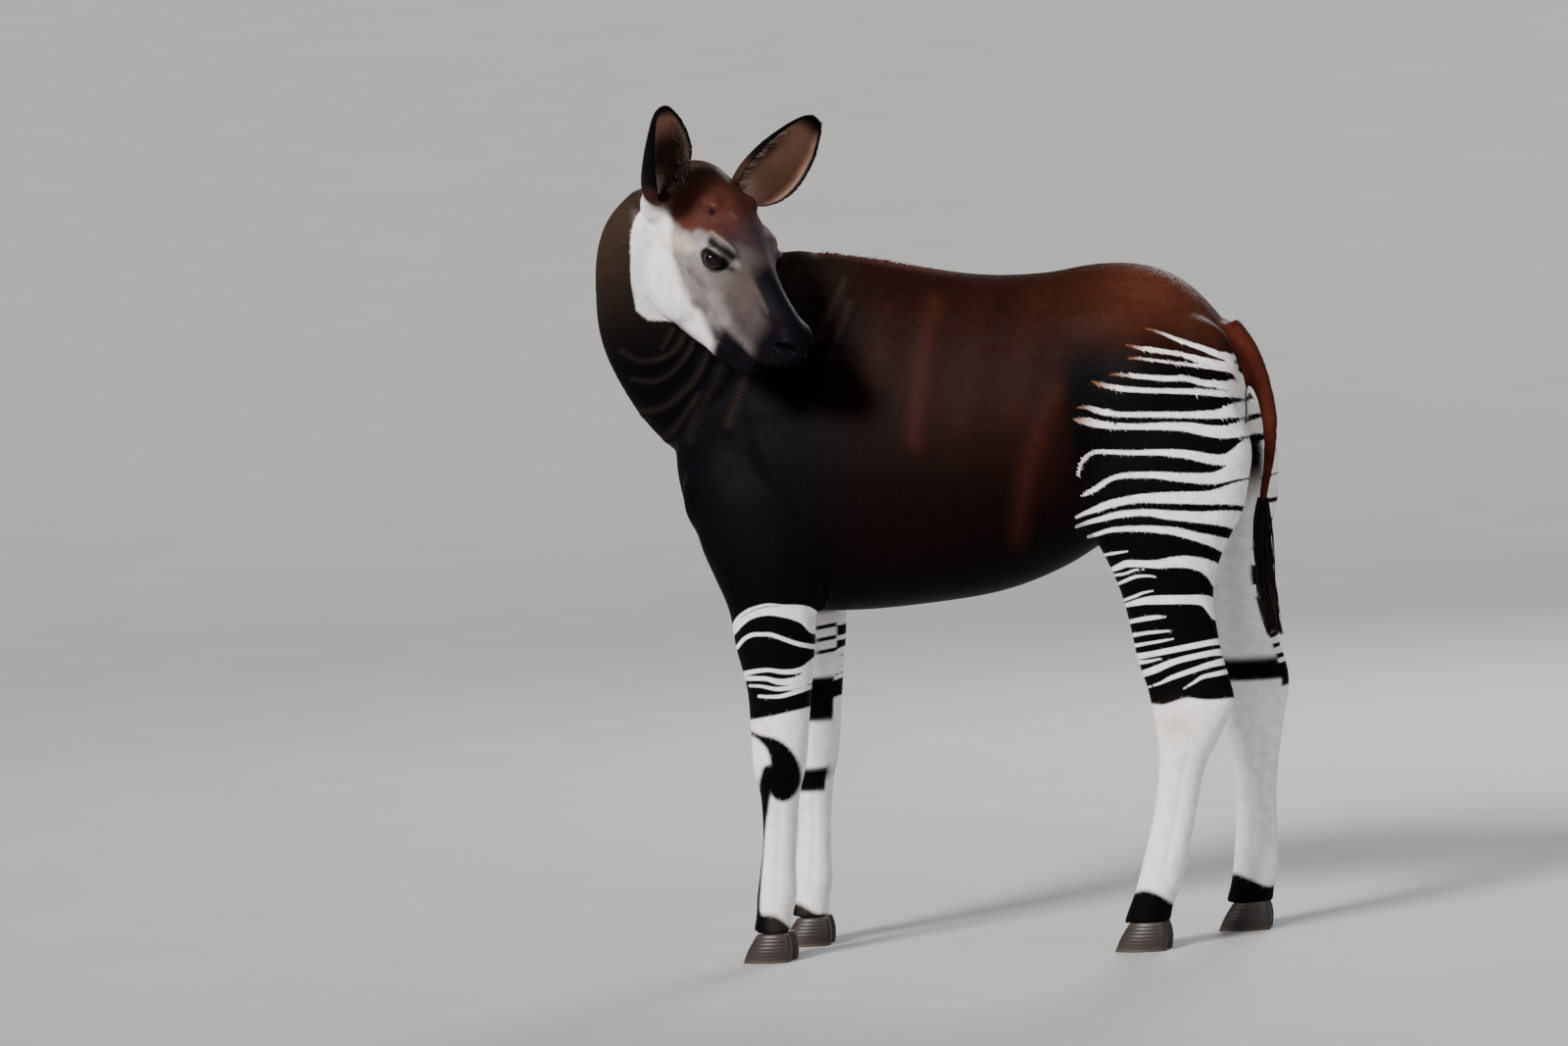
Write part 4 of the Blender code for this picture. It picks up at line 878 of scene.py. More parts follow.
def relaxed(points, edges, softness, rounds):
    """Evens out a surface. Softness from 0 to 1 says how much at each point."""
    count = np.bincount(edges.ravel(), minlength=len(points))
    points = points.copy()
    for _ in range(rounds):
        for axis in range(3):
            here = points[:, axis]
            total = np.bincount(edges[:, 0], here[edges[:, 1]], len(points))
            total += np.bincount(edges[:, 1], here[edges[:, 0]], len(points))
            points[:, axis] = here + (total / count - here) * softness * 0.5
    return points


def normals_of(points, faces):
    """The outward way at each point of a surface of triangles or quads."""
    a, b, c, d = (points[faces[:, k]] for k in (0, 1, 2, -1))
    across = np.cross(c - a, d - b) if faces.shape[1] == 4 else np.cross(b - a, c - a)
    total = np.zeros_like(points)
    for corner in faces.T:
        for axis in range(3):
            total[:, axis] += np.bincount(corner, across[:, axis], len(points))
    return unit(total)


def object_of(name, points, faces):
    """An object of one mesh, with its points in the body's axes and as many corners to each face."""
    faces = np.asarray(faces)
    mesh = bpy.data.meshes.new(name)
    mesh.vertices.add(len(points))
    mesh.vertices.foreach_set("co", (points + OFFSET).ravel())
    mesh.loops.add(faces.size)
    mesh.loops.foreach_set("vertex_index", faces.ravel().astype(np.int32))
    mesh.polygons.add(len(faces))
    mesh.polygons.foreach_set("loop_start", np.arange(0, faces.size, faces.shape[1], dtype=np.int32))
    mesh.polygons.foreach_set("use_smooth", np.ones(len(faces), bool))
    mesh.update(calc_edges=True)
    return linked(name, mesh)


def carried(piece, material, nodes=()):
    """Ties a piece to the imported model."""
    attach(piece, "root")
    if nodes:
        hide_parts(*nodes)
    piece.data.materials.append(material)
    return piece


def set_colours(piece, colours):
    """Keeps a colour at each point."""
    layer = piece.data.color_attributes.new("coat", "FLOAT_COLOR", "POINT")
    layer.data.foreach_set("color", np.concatenate([colours, np.ones((len(colours), 1))], axis=1).ravel())


def set_grain(piece, grain):
    """Keeps at each point how far across and along the hair it lies, in metres."""
    layer = piece.data.attributes.new("grain", "FLOAT_VECTOR", "POINT")
    layer.data.foreach_set("vector", np.concatenate([grain, np.zeros((len(grain), 1))], axis=1).ravel())


def coloured_piece(name, points, faces, colours, material, nodes):
    """A smooth piece with faces of any number of corners, coloured at its points."""
    mesh = mesh_from(name, points + OFFSET, faces)
    mesh.polygons.foreach_set("use_smooth", np.ones(len(faces), bool))
    piece = linked(name, mesh)
    set_colours(piece, colours)
    return carried(piece, material, nodes)


def ball_frame(side):
    """An eye's middle, the way it looks and two ways across it, in the body's axes."""
    middle = from_head((EYE[0], side * EYE[1], EYE[2]))
    out = unit(np.array(EYE_OUT) * (1, side, 1))
    across = np.array(EYE_ACROSS, float)
    across = unit(across - out * (across @ out))
    up = np.cross(out, across) * -side
    return middle, out @ HEAD_TURN.T, across @ HEAD_TURN.T, up @ HEAD_TURN.T


def opening_angle(turn):
    """How far from the middle of the ball the lids' edge lies, for a turn round the way it looks."""
    across = OPENING[0] * np.cos(turn)
    high = OPENING[1] * np.sin(turn) * (1 - OPENING_POINT * np.cos(turn) ** 2)
    return np.hypot(across, high) / EYE_RADIUS, np.arctan2(high, across)


def lid_edge():
    """The lids' edge as a table of turn and angle, once round."""
    angle, turn = opening_angle(np.linspace(-math.pi, math.pi, 721))
    order = np.argsort(turn)
    return turn[order], angle[order]


def past_lids(points, side):
    """Seen from the middle of an eye: how far points are, the ways to them, and how many degrees they
    lie past the lids' edge."""
    middle, out, across, up = ball_frame(side)
    away = points - middle
    far = np.linalg.norm(away, axis=1)
    ways = away / far[:, None]
    polar = np.arccos(np.clip(ways @ out, -1, 1))
    edge = np.interp(np.arctan2(ways @ up, ways @ across), *lid_edge())
    return far, ways, np.degrees(polar - edge)


def seat_eyes(points):
    """Draws the skin back from each ball inside the lids, so that the ball shows."""
    for side in (-1, 1):
        middle = ball_frame(side)[0]
        near = np.linalg.norm(points - middle, axis=1) < EYE_RADIUS * 1.8
        far, ways, past = past_lids(points[near], side)
        wanted = EYE_RADIUS + np.interp(past, *np.array(ROUND_LIDS).T) * MM
        wanted = far + (wanted - far) * (1 - ramp(past, *LIDS_END))
        points[near] = middle + ways * wanted[:, None]
    return points


def part_lines():
    """The lines through trunk, neck, head, legs, ears and tail, from where the hair starts to where it
    ends. Each gives the way the hair lies and where a point of the skin goes on its unwrap: name, rows
    of x, y, z and radius, and the way from which the turn round the line is measured."""
    trunk = [(x, y, (top + low) / 2, (top - low + 2 * half) / 4) for x, top, low, y, half, _ in TRUNK[1:-1]]
    neck = []
    for row in reversed(NECK[1:]):
        nape = unit(np.array(row[3:6]))
        middle = np.array(row[:3]) + nape * (row[7] - row[8]) / 2
        neck.append((*middle, (2 * row[6] + row[7] + row[8]) / 4))
    head = [(*from_head((x, 0, -0.02)), radius) for x, radius in HEAD_LINE]
    lines = [("trunk", trunk, (0, 0, 1)), ("neck", neck, (0.5, -0.2, 0.8)), ("head", head, HEAD_TURN[:, 2])]
    for name, rows, side, back in LEGS:
        line = []
        for z, front, rear, y, half in rows[1:]:
            middle = (front + rear) / 2 + set_back(z, back)
            line.append((middle, side * y, z, (rear - front + 2 * half) / 4))
        lines.append((name, line, (0, side, 0)))
    for name, root, way, opening in EARS:
        way, _, opening = ear_axes(way, opening)
        line = []
        for share, radius, _, _, bend in EAR_ROWS[1:]:
            middle = np.array(root) + way * share * EAR_LENGTH - opening * bend
            line.append((*from_head(middle), radius * 0.55))
        lines.append((f"ear_{name}", line, -opening @ HEAD_TURN.T))
    lines.append(("tail", TAIL, (1, 0, 0)))
    return lines


def nearest_on(points, line):
    """For each point: its distance to the line in radii, how far along it lies, the line's way and the
    step out from the line."""
    line = np.array(line, float)
    best = np.full(len(points), FAR)
    along = np.zeros(len(points))
    way = np.zeros_like(points)
    step = np.zeros_like(points)
    start = 0.0
    for i in range(len(line) - 1):
        a, b = line[i], line[i + 1]
        run = b[:3] - a[:3]
        length = np.linalg.norm(run)
        share = (points - a[:3]) @ run / length**2
        inside = np.clip(share, 0, 1)
        out = points - a[:3] - inside[:, None] * run
        radius = a[3] + (b[3] - a[3]) * inside
        score = np.linalg.norm(out, axis=1) / radius
        closer = score < best
        best[closer] = score[closer]
        reach = np.where((i == 0) | (share > 0), share, 0)
        reach = np.where((i == len(line) - 2) | (share < 1), reach, np.clip(share, None, 1))
        along[closer] = start + reach[closer] * length
        way[closer] = run / length
        step[closer] = out[closer]
        start += length
    return best, along, way, step


def head_hair(points, normals):
    """The lie of the hair on the head, in the body's axes: down the nose below the eyes, up over the
    brow above them, back and down on the cheeks."""
    place = to_head(points)
    faces = normals @ HEAD_TURN
    top = ramp(faces[:, 2], 0.25, 0.8)[:, None]
    low = ramp(-faces[:, 2], 0.4, 0.9)[:, None]
    forward = (2 * ramp(place[:, 0], 0.145, 0.205) - 1)[:, None]
    over = np.array((1.0, 0, 0)) * forward + np.array((0, 0.25, 0)) * np.sign(place[:, 1:2])
    muzzle = ramp(place[:, 0], 0.28, 0.36)[:, None]
    cheek = np.array((-0.75, 0, -0.55)) * (1 - muzzle) + np.array((0.2, 0, -0.95)) * muzzle
    under = np.array((-1.0, 0, 0))
    way = over * top + (1 - top) * (cheek * (1 - low) + under * low)
    return way @ HEAD_TURN.T


def in_reach(points, line):
    """True for the points that lie within a few radii of a line."""
    rows = np.array(line, float)
    room = 3.5 * rows[:, 3].max()
    return np.all((points > rows[:, :3].min(0) - room) & (points < rows[:, :3].max(0) + room), axis=1)


def lie_on(name, points, normals, way):
    """The way the hair lies on a part of the body, along the skin."""
    lie = way
    if name == "head":
        lie = head_hair(points, normals)
    elif name == "trunk":
        lie = np.array(TRUNK_HAIR)
    return unit(lie - normals * np.sum(lie * normals, axis=1)[:, None])


def turn_round(way, step, reference):
    """How far round its line each point lies, from the way that the reference gives."""
    reference = np.array(reference, float)
    first = unit(reference - way * (way @ reference)[:, None])
    second = np.cross(way, first)
    return np.arctan2(np.sum(step * second, axis=1), np.sum(step * first, axis=1))


def place_fields(points, normals):
    """What the coat needs to know of points of the skin: the part each lies on, the lie of the hair,
    the grain across and along it in metres, and its cell and place on the unwrap."""
    count = len(points)
    hair = np.zeros((count, 3))
    least = np.full(count, np.inf)
    scores = {}
    fields = {
        "part": np.zeros(count, int),
        "cell": np.zeros(count, int),
        "grain": np.zeros((count, 2)),
        "unwrap": np.zeros((count, 2)),
    }
    for number, (name, line, reference) in enumerate(LINES):
        scores[name] = np.full(count, FAR)
        around = np.flatnonzero(in_reach(points, line))
        if not len(around):
            continue
        spots, outward = points[around], normals[around]
        score, along, way, step = nearest_on(spots, line)
        if name.startswith("ear"):
            stem = ramp(to_head(spots)[:, 2], 0.012, 0.036)
            score = score / np.maximum(stem, 0.05)
        scores[name][around] = score
        hair[around] += lie_on(name, spots, outward, way) / np.maximum(score, 0.2)[:, None] ** 6
        turn = turn_round(way, step, reference)
        inside = (np.sum(step * outward, axis=1) < 0) & name.startswith("ear")
        length = sum(math.dist(a[:3], b[:3]) for a, b in zip(line, line[1:]))
        radius = np.mean([row[3] for row in line])
        across = 0.03 + 0.94 * (turn / (2 * math.pi) + 0.5)
        down = 0.10 + 0.80 * np.clip(along / length, -0.1, 1.1)
        found = {
            "part": np.full(len(around), number),
            "cell": 2 * number + inside,
            "grain": np.stack([turn * radius + number * 0.7, along], axis=1),
            "unwrap": np.stack([across, down], axis=1),
        }
        closer = score < least[around]
        mine = around[closer]
        least[mine] = score[closer]
        for key, values in found.items():
            fields[key][mine] = values[closer]
    hair = unit(hair - normals * np.sum(hair * normals, axis=1)[:, None])
    return {"hair": hair, "scores": scores, **fields}


def near_line(flat, rows, soft, reach=1.0):
    """How far points of the sheet lie within a mark given by x, z and half width in millimetres: 1
    inside it, 0 outside, with a soft edge."""
    cover = np.zeros(len(flat))
    table = smooth_rows(rows, 3) if len(rows) > 2 else np.array(rows, float)
    table = table * MM
    low, high = table[:, :2].min(0) - 0.04, table[:, :2].max(0) + 0.04
    near = np.flatnonzero(np.all((flat > low) & (flat < high), axis=1))
    if not len(near):
        return cover
    spots = flat[near]
    widen = np.broadcast_to(reach, len(flat))[near]
    best = np.full(len(near), -np.inf)
    for a, b in zip(table, table[1:]):
        run = b[:2] - a[:2]
        share = np.clip((spots - a[:2]) @ run / max(run @ run, 1e-12), 0, 1)
        away = np.linalg.norm(spots - a[:2] - share[:, None] * run, axis=1)
        width = (a[2] + (b[2] - a[2]) * share) * widen
        best = np.maximum(best, (width - away) / soft)
    cover[near] = np.clip(best + 0.5, 0, 1)
    return cover


def above_edge(flat, rows, soft):
    """1 above an edge given by x and z in millimetres, 0 below it, with a soft step between."""
    table = smooth_rows(rows, 3) * MM
    return np.clip((flat[:, 1] - np.interp(flat[:, 0], table[:, 0], table[:, 1])) / soft + 0.5, 0, 1)


def on_sheet(points):
    """Carries points of the left side onto the flat sheet beside it, along the way it is looked at."""
    eye = np.array(SHEET_EYE)
    share = (SHEET_Y - eye[1]) / (points[:, 1] - eye[1])
    return (eye + (points - eye) * share[:, None])[:, [0, 2]]


def leg_middle(rows, z):
    """Where the middle of a leg lies from front to back, at a height."""
    table = np.array(rows[::-1], float)
    return np.interp(z, table[:, 0], (table[:, 1] + table[:, 2]) / 2)


def blended(base, colour, share):
    """The colour laid over the base as far as the share says."""
    share = np.clip(share, 0, 1)[:, None]
    return base * (1 - share) + np.asarray(colour) * share


def plain(name, count):
    """One named colour for a number of points."""
    return np.tile(TINT[name], (count, 1))


def laid(colour, *layers):
    """Named colours laid over a colour one after another, each as far as its share says."""
    for name, share in layers:
        colour = blended(colour, TINT[name], share)
    return colour


def marked(colour, flat, marks, name, soft, strength=1):
    """Marks of one named colour laid over a colour."""
    return laid(colour, *((name, strength * near_line(flat, rows, soft)) for rows in marks))


def on_leg_sheet(points, normals, side, shift):
    """Where points of a leg lie on the flat sheet, shifted forward onto the left leg, and how far each
    faces outwards."""
    moved = points * (1, -side, 1)
    moved[:, 0] -= shift
    return on_sheet(moved), FACING[0] * normals[:, 0] + FACING[1] * side * normals[:, 1]


def marked_hindleg(colour, points, normals, rows, side, tail):
    """Stripes of a hind leg and thigh, its white shank and black pastern."""
    mine = (points[:, 0] > 0.14) & (points[:, 2] < 1.15) & (points[:, 1] * side > 0.008) & ~tail
    if not mine.any():
        return colour
    spots, outward, under = points[mine], normals[mine], colour[mine]
    level = spots[:, 2]
    shift = leg_middle(rows, level) - leg_middle(HINDLEG_LEFT, level)
    flat, facing = on_leg_sheet(spots, outward, side, shift)
    x, z = flat.T
    black = ramp(x, 0.165, 0.205) * (1 - ramp(z + 0.10 * (x - 0.3), 1.035, 1.120))
    outside = laid(under, ("black", black))
    reach = 1 + 0.12 * ramp(outward[:, 0], 0.55, 0.95)
    for mark in HIND_MARKS:
        start = mark[0][0] * MM
        warm = (1 - ramp(x, start + 0.004, start + 0.05)) * ramp(z, 0.86, 1.0)
        tint = laid(plain("white", len(flat)), ("fringe_warm", warm))
        outside = blended(outside, tint, near_line(flat, mark, STRIPE_EDGE, reach) * (1 - 0.35 * warm))
    outside = laid(
        outside,
        ("white", 1 - above_edge(flat, HIND_BLACK_ENDS, 5 * MM)),
        ("stain", 0.55 * bell((x - 0.340) / 0.030, (z - 0.405) / 0.024)),
    )
    inside = laid(
        under,
        ("white", 1 - ramp(level, 0.76, 0.86)),
        ("black", ramp(level, 0.455, 0.464) * (1 - ramp(level, 0.492, 0.512))),
    )
    both = blended(inside, outside, ramp(facing, -0.62, -0.44))
    both = laid(both, ("black", 1 - above_edge(flat, HIND_PASTERN, 10 * MM)))
    colour = colour.copy()
    colour[mine] = blended(under, both, ramp(-level, -1.15, -1.13))
    return colour


def foreleg_inside(points):
    """The inner side of a foreleg: white below the elbow, with black bands and nicks."""
    x, level = points[:, 0], points[:, 2]
    layers = [("black", ramp(level, 0.618, 0.634))]
    for low, high in FORE_INNER_BANDS:
        band = ramp(level, low - 0.006, low + 0.006) * (1 - ramp(level, high - 0.006, high + 0.006))
        layers.append(("black", band))
    for height in FORE_INNER_NICKS:
        nick = 1 - ramp(np.abs(level - height - 0.12 * (x + 0.36)), 0.0025, 0.005)
        layers.append(("black", nick * ramp(x, -0.385, -0.365)))
    return laid(plain("white", len(points)), *layers)


def marked_foreleg(colour, points, normals, side, back):
    """White bands, white cannon with its black line, knee patch and pastern of a foreleg."""
    mine = (points[:, 0] < -0.24) & (points[:, 2] < 0.70) & (points[:, 1] * side > 0.004)
    if not mine.any():
        return colour
    spots = points[mine]
    level = spots[:, 2]
    flat, facing = on_leg_sheet(spots, normals[mine], side, set_back(level, back))
    outside = marked(plain("blue_black", len(flat)), flat, FORE_MARKS, "white", STRIPE_EDGE)
    outside = marked(outside, flat, FORE_ARCH_LINE, "black", 1.2 * MM, 0.8)
    outside = laid(outside, ("white", 1 - above_edge(flat, FORE_BLACK_ENDS, 4 * MM)))
    outside = marked(outside, flat, KNEE_PATCH, "black", 8 * MM)
    outside = marked(outside, flat, CANNON_LINE, "black", 5 * MM)
    both = blended(foreleg_inside(spots), outside, ramp(facing, -0.52, -0.36))
    dusky = laid(plain("black", len(flat)), ("pastern", ramp(flat[:, 0], -0.455, -0.43)))
    both = blended(both, dusky, 1 - above_edge(flat, FORE_PASTERN, 12 * MM))
    colour = colour.copy()
    colour[mine] = blended(colour[mine], both, 1 - ramp(level, 0.675, 0.695))
    return colour


def edge_at(x, rows):
    """The height of an edge of the head's colours, given by x and z in millimetres."""
    return np.interp(x, *np.array(rows).T * MM)


def crown_colour(x, side):
    """Chestnut of crown and brow, darker toward the nape and dusky toward the nose."""
    return laid(
        plain("crown", len(x)),
        ("chestnut_light", 0.7 * bell((x - 0.085) / 0.035)),
        ("forehead", ramp(x, 0.095, 0.145)),
        ("dusk", ramp(x + 0.5 * (0.03 - side), 0.145, 0.195)),
        ("dark_brown", 1 - ramp(x, -0.03, 0.045)),
    )


def round_eyes(points):
    """How far points lie in the lighter hair over each eye, and in the dark skin round its lids."""
    made = []
    for number in (-1, 1):
        middle, _, across, up = ball_frame(number)
        away = points - middle
        near = np.linalg.norm(away, axis=1) < 0.07
        wide, high = away @ across, away @ up
        ring = np.hypot(wide / DARK_ROUND_EYE[0], high / DARK_ROUND_EYE[1])
        light = near * bell((ring - 1.42) / 0.20) * ramp(high, -0.002, 0.014)
        corner = bell((wide - 0.035) / 0.009, (high + 0.002) / 0.005)
        dark = near * np.maximum(1 - ramp(ring, 0.90, 1.15), 0.9 * corner)
        made.append((("pale", 0.3 * light), ("lid", 0.97 * dark)))
    return zip(*made)


def head_colour(points, normals):
    """The colours of head and throat, in the head's axes and alike on both sides."""
    place = to_head(points)
    x, side, z = place[:, 0], np.abs(place[:, 1]), place[:, 2]
    top = ramp((normals @ HEAD_TURN)[:, 2], 0.15, 0.75)
    over = z - edge_at(x, CHEEK_EDGE)
    # White jaw, grey cheek and a dusky nose, dark from between the eyes to the muzzle
    bridge = ramp(x, 0.185, 0.245) * ramp(z - 0.06 + 0.35 * (x - 0.2), -0.060, 0.015)
    colour = laid(
        plain("white", len(points)),
        ("cheek", ramp(over, -0.012, 0.018)),
        ("grey_brown", ramp(x, 0.17, 0.27) * ramp(over, 0.00, 0.08)),
        ("bridge", 0.85 * bridge),
        ("black", 0.35 * bell((x - 0.215) / 0.030, side / 0.028) * top),
    )
    edge = edge_at(x, CROWN_EDGE)
    crown = ramp(z, edge - 0.007, edge + 0.012) * (1 - ramp(x, 0.200, 0.250))
    colour = blended(colour, crown_colour(x, side), 0.97 * crown)
    middle = bell(side / 0.012) * ramp(x, 0.03, 0.06) * (1 - ramp(x, 0.15, 0.19)) * top
    # Lighter hair over the eyes, then the spots with the painted highlights on the crown's swellings, then
    # the dark skin round the lids
    light, dark = round_eyes(points)
    colour = laid(colour, ("dark_brown", 0.35 * middle), *light)
    spots = np.stack([x, side, z], axis=1)
    for line, half, name, share in FACE_SPOTS:
        near = np.exp(-(line_distance(spots, np.array(line) * MM) / (half * MM)) ** 3)
        colour = laid(colour, (name, share * near))
    # Side of the lip, muzzle, chin and corner of the mouth
    muzzle = ramp(x + 0.10 * top * ramp(z, 0.0, 0.05) - 0.25 * np.clip(-z - 0.03, 0, 0.03), 0.325, 0.372)
    return laid(
        colour,
        *dark,
        ("lip", 0.5 * bell((x - 0.325) / 0.030, (z + 0.020) / 0.034) * (1 - top)),
        ("muzzle", muzzle),
        ("muzzle", ramp(x, 0.262, 0.295) * ramp(-z, 0.040, 0.062)),
        ("muzzle", 0.75 * bell((x - 0.275) / 0.030, (z + 0.075) / 0.016)),
    )


def ear_colour(points, normals, root, way, opening):
    """Dark back and rim of an ear, tan inside the rim and a dusky cavity."""
    way, side, opening = ear_axes(way, opening)
    place = to_head(points) - np.array(root)
    share = place @ way / EAR_LENGTH
    radius, sweep, bend = ear_section(share)
    across, out = place @ side, place @ opening + bend
    turn = np.arctan2(across, -out)
    from_rim = (sweep - np.abs(turn)) * radius
    from_tip = (1 - share) * EAR_LENGTH
    faces = normals @ HEAD_TURN
    radial = np.stack([across, out], axis=1) / np.maximum(np.hypot(across, out), 1e-6)[:, None]
    inner = ramp(-np.sum(radial * np.stack([faces @ side, faces @ opening], axis=1), axis=1), 0.0, 0.5)
    outside = laid(plain("black", len(points)), ("dark_brown", (1 - ramp(share, 0.1, 0.5)) * (1 - inner)))
    # The cavity lies toward the head, the paler fan of skin and hair on the far side of it
    toward = turn / sweep * -np.sign(root[1] * side[1])
    cavity = ramp(toward, -0.10, 0.25) * (1 - ramp(toward, 0.70, 0.95)) * ramp(0.80 - share, 0.0, 0.30)
    margin = bell((from_rim - 0.011) / 0.005) * ramp(share, 0.0, 0.1) * ramp(from_tip, 0.04, 0.10)
    low = (1 - ramp(share, 0.10, 0.34)) * ramp(from_rim, 0.004, 0.012) * (1 - ramp(toward, 0.2, 0.6))
    inside = laid(
        plain("black", len(points)),
        ("ear_tan", ramp(from_rim, 0.004, 0.011) * ramp(from_tip, 0.012, 0.045)),
        ("ear_inside", 0.92 * cavity * ramp(from_rim, 0.006, 0.016)),
        ("fringe", 0.5 * margin),
        ("fringe", 0.6 * low),
    )
    return blended(outside, inside, inner)


def trunk_colour(points, normals):
    """The dark trunk: browner over flank and back, chestnut on the rump and black under the belly."""
    x, y, z = points.T
    up = ramp(normals[:, 2], 0.1, 0.9)
    rump = ramp(x + 0.5 * (z - 1.2), 0.02, 0.30) * ramp(z - 0.12 * (x - 0.3), 1.00, 1.16)
    rump = rump + (1 - rump) * ramp(x, 0.40, 0.46) * ramp(z, 0.92, 1.02)
    belly = ramp(-normals[:, 2], 0.3, 0.9) * (1 - ramp(z, 0.80, 0.95))
    mane = bell(y / 0.016) * up * ramp(x, -0.42, -0.34) * (1 - ramp(x, -0.10, 0.0))
    return laid(
        plain("brown_black", len(points)),
        ("blue_black", (1 - ramp(x, -0.36, -0.16)) * (1 - ramp(z, 1.10, 1.22))),
        ("dark_brown", 0.75 * (bell((x - 0.02) / 0.17) * ramp(z, 0.80, 1.05))),
        ("dark_brown", 0.6 * up * ramp(x, -0.34, -0.1)),
        ("chestnut", rump),
        ("rump", rump * ramp(x, 0.19, 0.36) * ramp(z, 1.08, 1.2)),
        ("dark_brown", 0.6 * bell((x - 0.13) / 0.05, (z - 0.93) / 0.10)),
        ("black", 0.8 * belly),
        ("mane", 0.8 * mane),
    )


def near_folds(points):
    """The numbers of the points that the folds of loose skin can reach."""
    x, y, z = points.T
    return np.flatnonzero((x < 0.24) & (z > 0.66) & (y < 0))


def fold_cover(points):
    """For each fold, how near points lie to its crest, with its height and the colour and strength of
    the sheen painted on its crest.
    """
    flat = on_sheet(points)
    shown = ramp(-points[:, 1], 0.02, 0.07)
    below_head = ramp(-to_head(points)[:, 2], 0.170, 0.186)
    covers = []
    for line, half, height, name, strength in FOLDS:
        rows = smooth_rows(line, 3) * MM
        share = bell(line_distance(flat, rows) / (half * MM)) * shown
        if line[0][0] < -400:
            share = share * below_head
        covers.append((share, height, name, strength))
    return covers


def neck_over(colour, points, scores):
    """Lays the neck over the trunk, with the sheen painted on the folds' crests, partly lighter hair."""
    share = 1 / (1 + (scores["neck"] / scores["trunk"]) ** 8)
    throat = laid(plain("blue_black", len(points)), ("neck", ramp(points[:, 2], 1.10, 1.38)))
    colour = blended(colour, throat, share)
    folds = near_folds(points)
    # The crests of the folds get a painted sheen, partly lighter hair
    layers = [(name, strength * crest**2) for crest, _, name, strength in fold_cover(points[folds])]
    colour[folds] = laid(colour[folds], *layers)
    return colour


def head_over(colour, points, normals, scores):
    """Lays the head and the white behind the cheek over the neck."""
    x, side, z = to_head(points).T
    side = np.abs(side)
    nape = (1 - ramp(side, 0.060, 0.084)) * (1 - ramp(x, 0.025, 0.060)) * ramp(z, -0.135, -0.095)
    edge = edge_at(x, THROAT_WHITE)
    white = ramp(z, edge - 0.004, edge + 0.004) * (1 - ramp(x, 0.15, 0.17)) * (1 - ramp(z, 0.01, 0.04))
    white = white * (z > -0.25) * (side < 0.13) * ramp(x, -0.012, 0.002) * (1 - nape)
    share = ramp(scores["neck"] / scores["head"], 0.80, 1.15) * (scores["head"] < FAR)
    face = laid(head_colour(points, normals), ("neck", nape))
    return blended(colour, face, np.maximum(share, white * (scores["head"] < 2.6)))


def ears_over(colour, points, normals, scores):
    """Lays both ears over the head."""
    place = to_head(points)
    rival = np.minimum(scores["head"], scores["neck"])
    for name, root, way, opening in EARS:
        score = scores[f"ear_{name}"]
        at_root = np.linalg.norm(place - np.array(root), axis=1) < 0.05
        mine = (score < rival * 1.15) & ((score < 3.2) | at_root)
        if mine.any():
            own = ear_colour(points[mine], normals[mine], root, way, opening)
            colour[mine] = blended(colour[mine], own, ramp(rival[mine] / score[mine], 0.87, 1.10))
    return colour


def coat_colour(points, normals, fields):
    """The colour of skin and hair at points of the skin."""
    scores = fields["scores"]
    colour = neck_over(trunk_colour(points, normals), points, scores)
    colour = head_over(colour, points, normals, scores)
    rivals = np.minimum(scores["trunk"], np.minimum(scores["hindleg_left"], scores["hindleg_right"]))
    tail = np.maximum(ramp(rivals / scores["tail"], 0.75, 0.95), 1 - ramp(scores["tail"], 1.35, 1.6))
    colour = ears_over(laid(colour, ("tail", tail)), points, normals, scores)
    for name, rows, side, back in LEGS:
        if name.startswith("hindleg"):
            colour = marked_hindleg(colour, points, normals, rows, side, tail > 0.5)
        else:
            colour = marked_foreleg(colour, points, normals, side, back)
    return colour


def line_distance(points, line):
    """How far points lie from a line of points."""
    line = np.array(line, float)
    best = np.full(len(points), np.inf)
    for a, b in zip(line, line[1:]):
        run = b - a
        share = np.clip((points - a) @ run / (run @ run), 0, 1)
        best = np.minimum(best, np.linalg.norm(points - a - share[:, None] * run, axis=1))
    return best


def nostril_steps(spots, ways, side):
    """The two steps by which the skin moves at a nostril: its comma-shaped hollow and its raised rim."""
    mirror = np.array((1, side, 1))
    long, inward = (unit(np.array(way) * mirror) for way in (NOSTRIL_WAY, NOSTRIL_INWARD))
    away = spots - np.array(NOSTRIL) * mirror
    bent = away + np.array((0.0, 0.0, 1.0)) * (NOSTRIL_BEND * ((away @ long) ** 2 / NOSTRIL_SPAN))[:, None]
    run = bent @ long
    off = np.linalg.norm(bent - run[:, None] * long, axis=1)
    wide = NOSTRIL_WIDTH * (1 + NOSTRIL_FLARE * run / NOSTRIL_SPAN)
    reach = np.sqrt((run / NOSTRIL_LENGTH) ** 2 + (off / wide) ** 2)
    hollow = (1 - ramp(reach, 0.55, 1.25)) * NOSTRIL_DEPTH
    rim = bell((reach - 1.75) / 0.45) * NOSTRIL_RIM
    return inward * hollow[:, None], ways * rim[:, None]


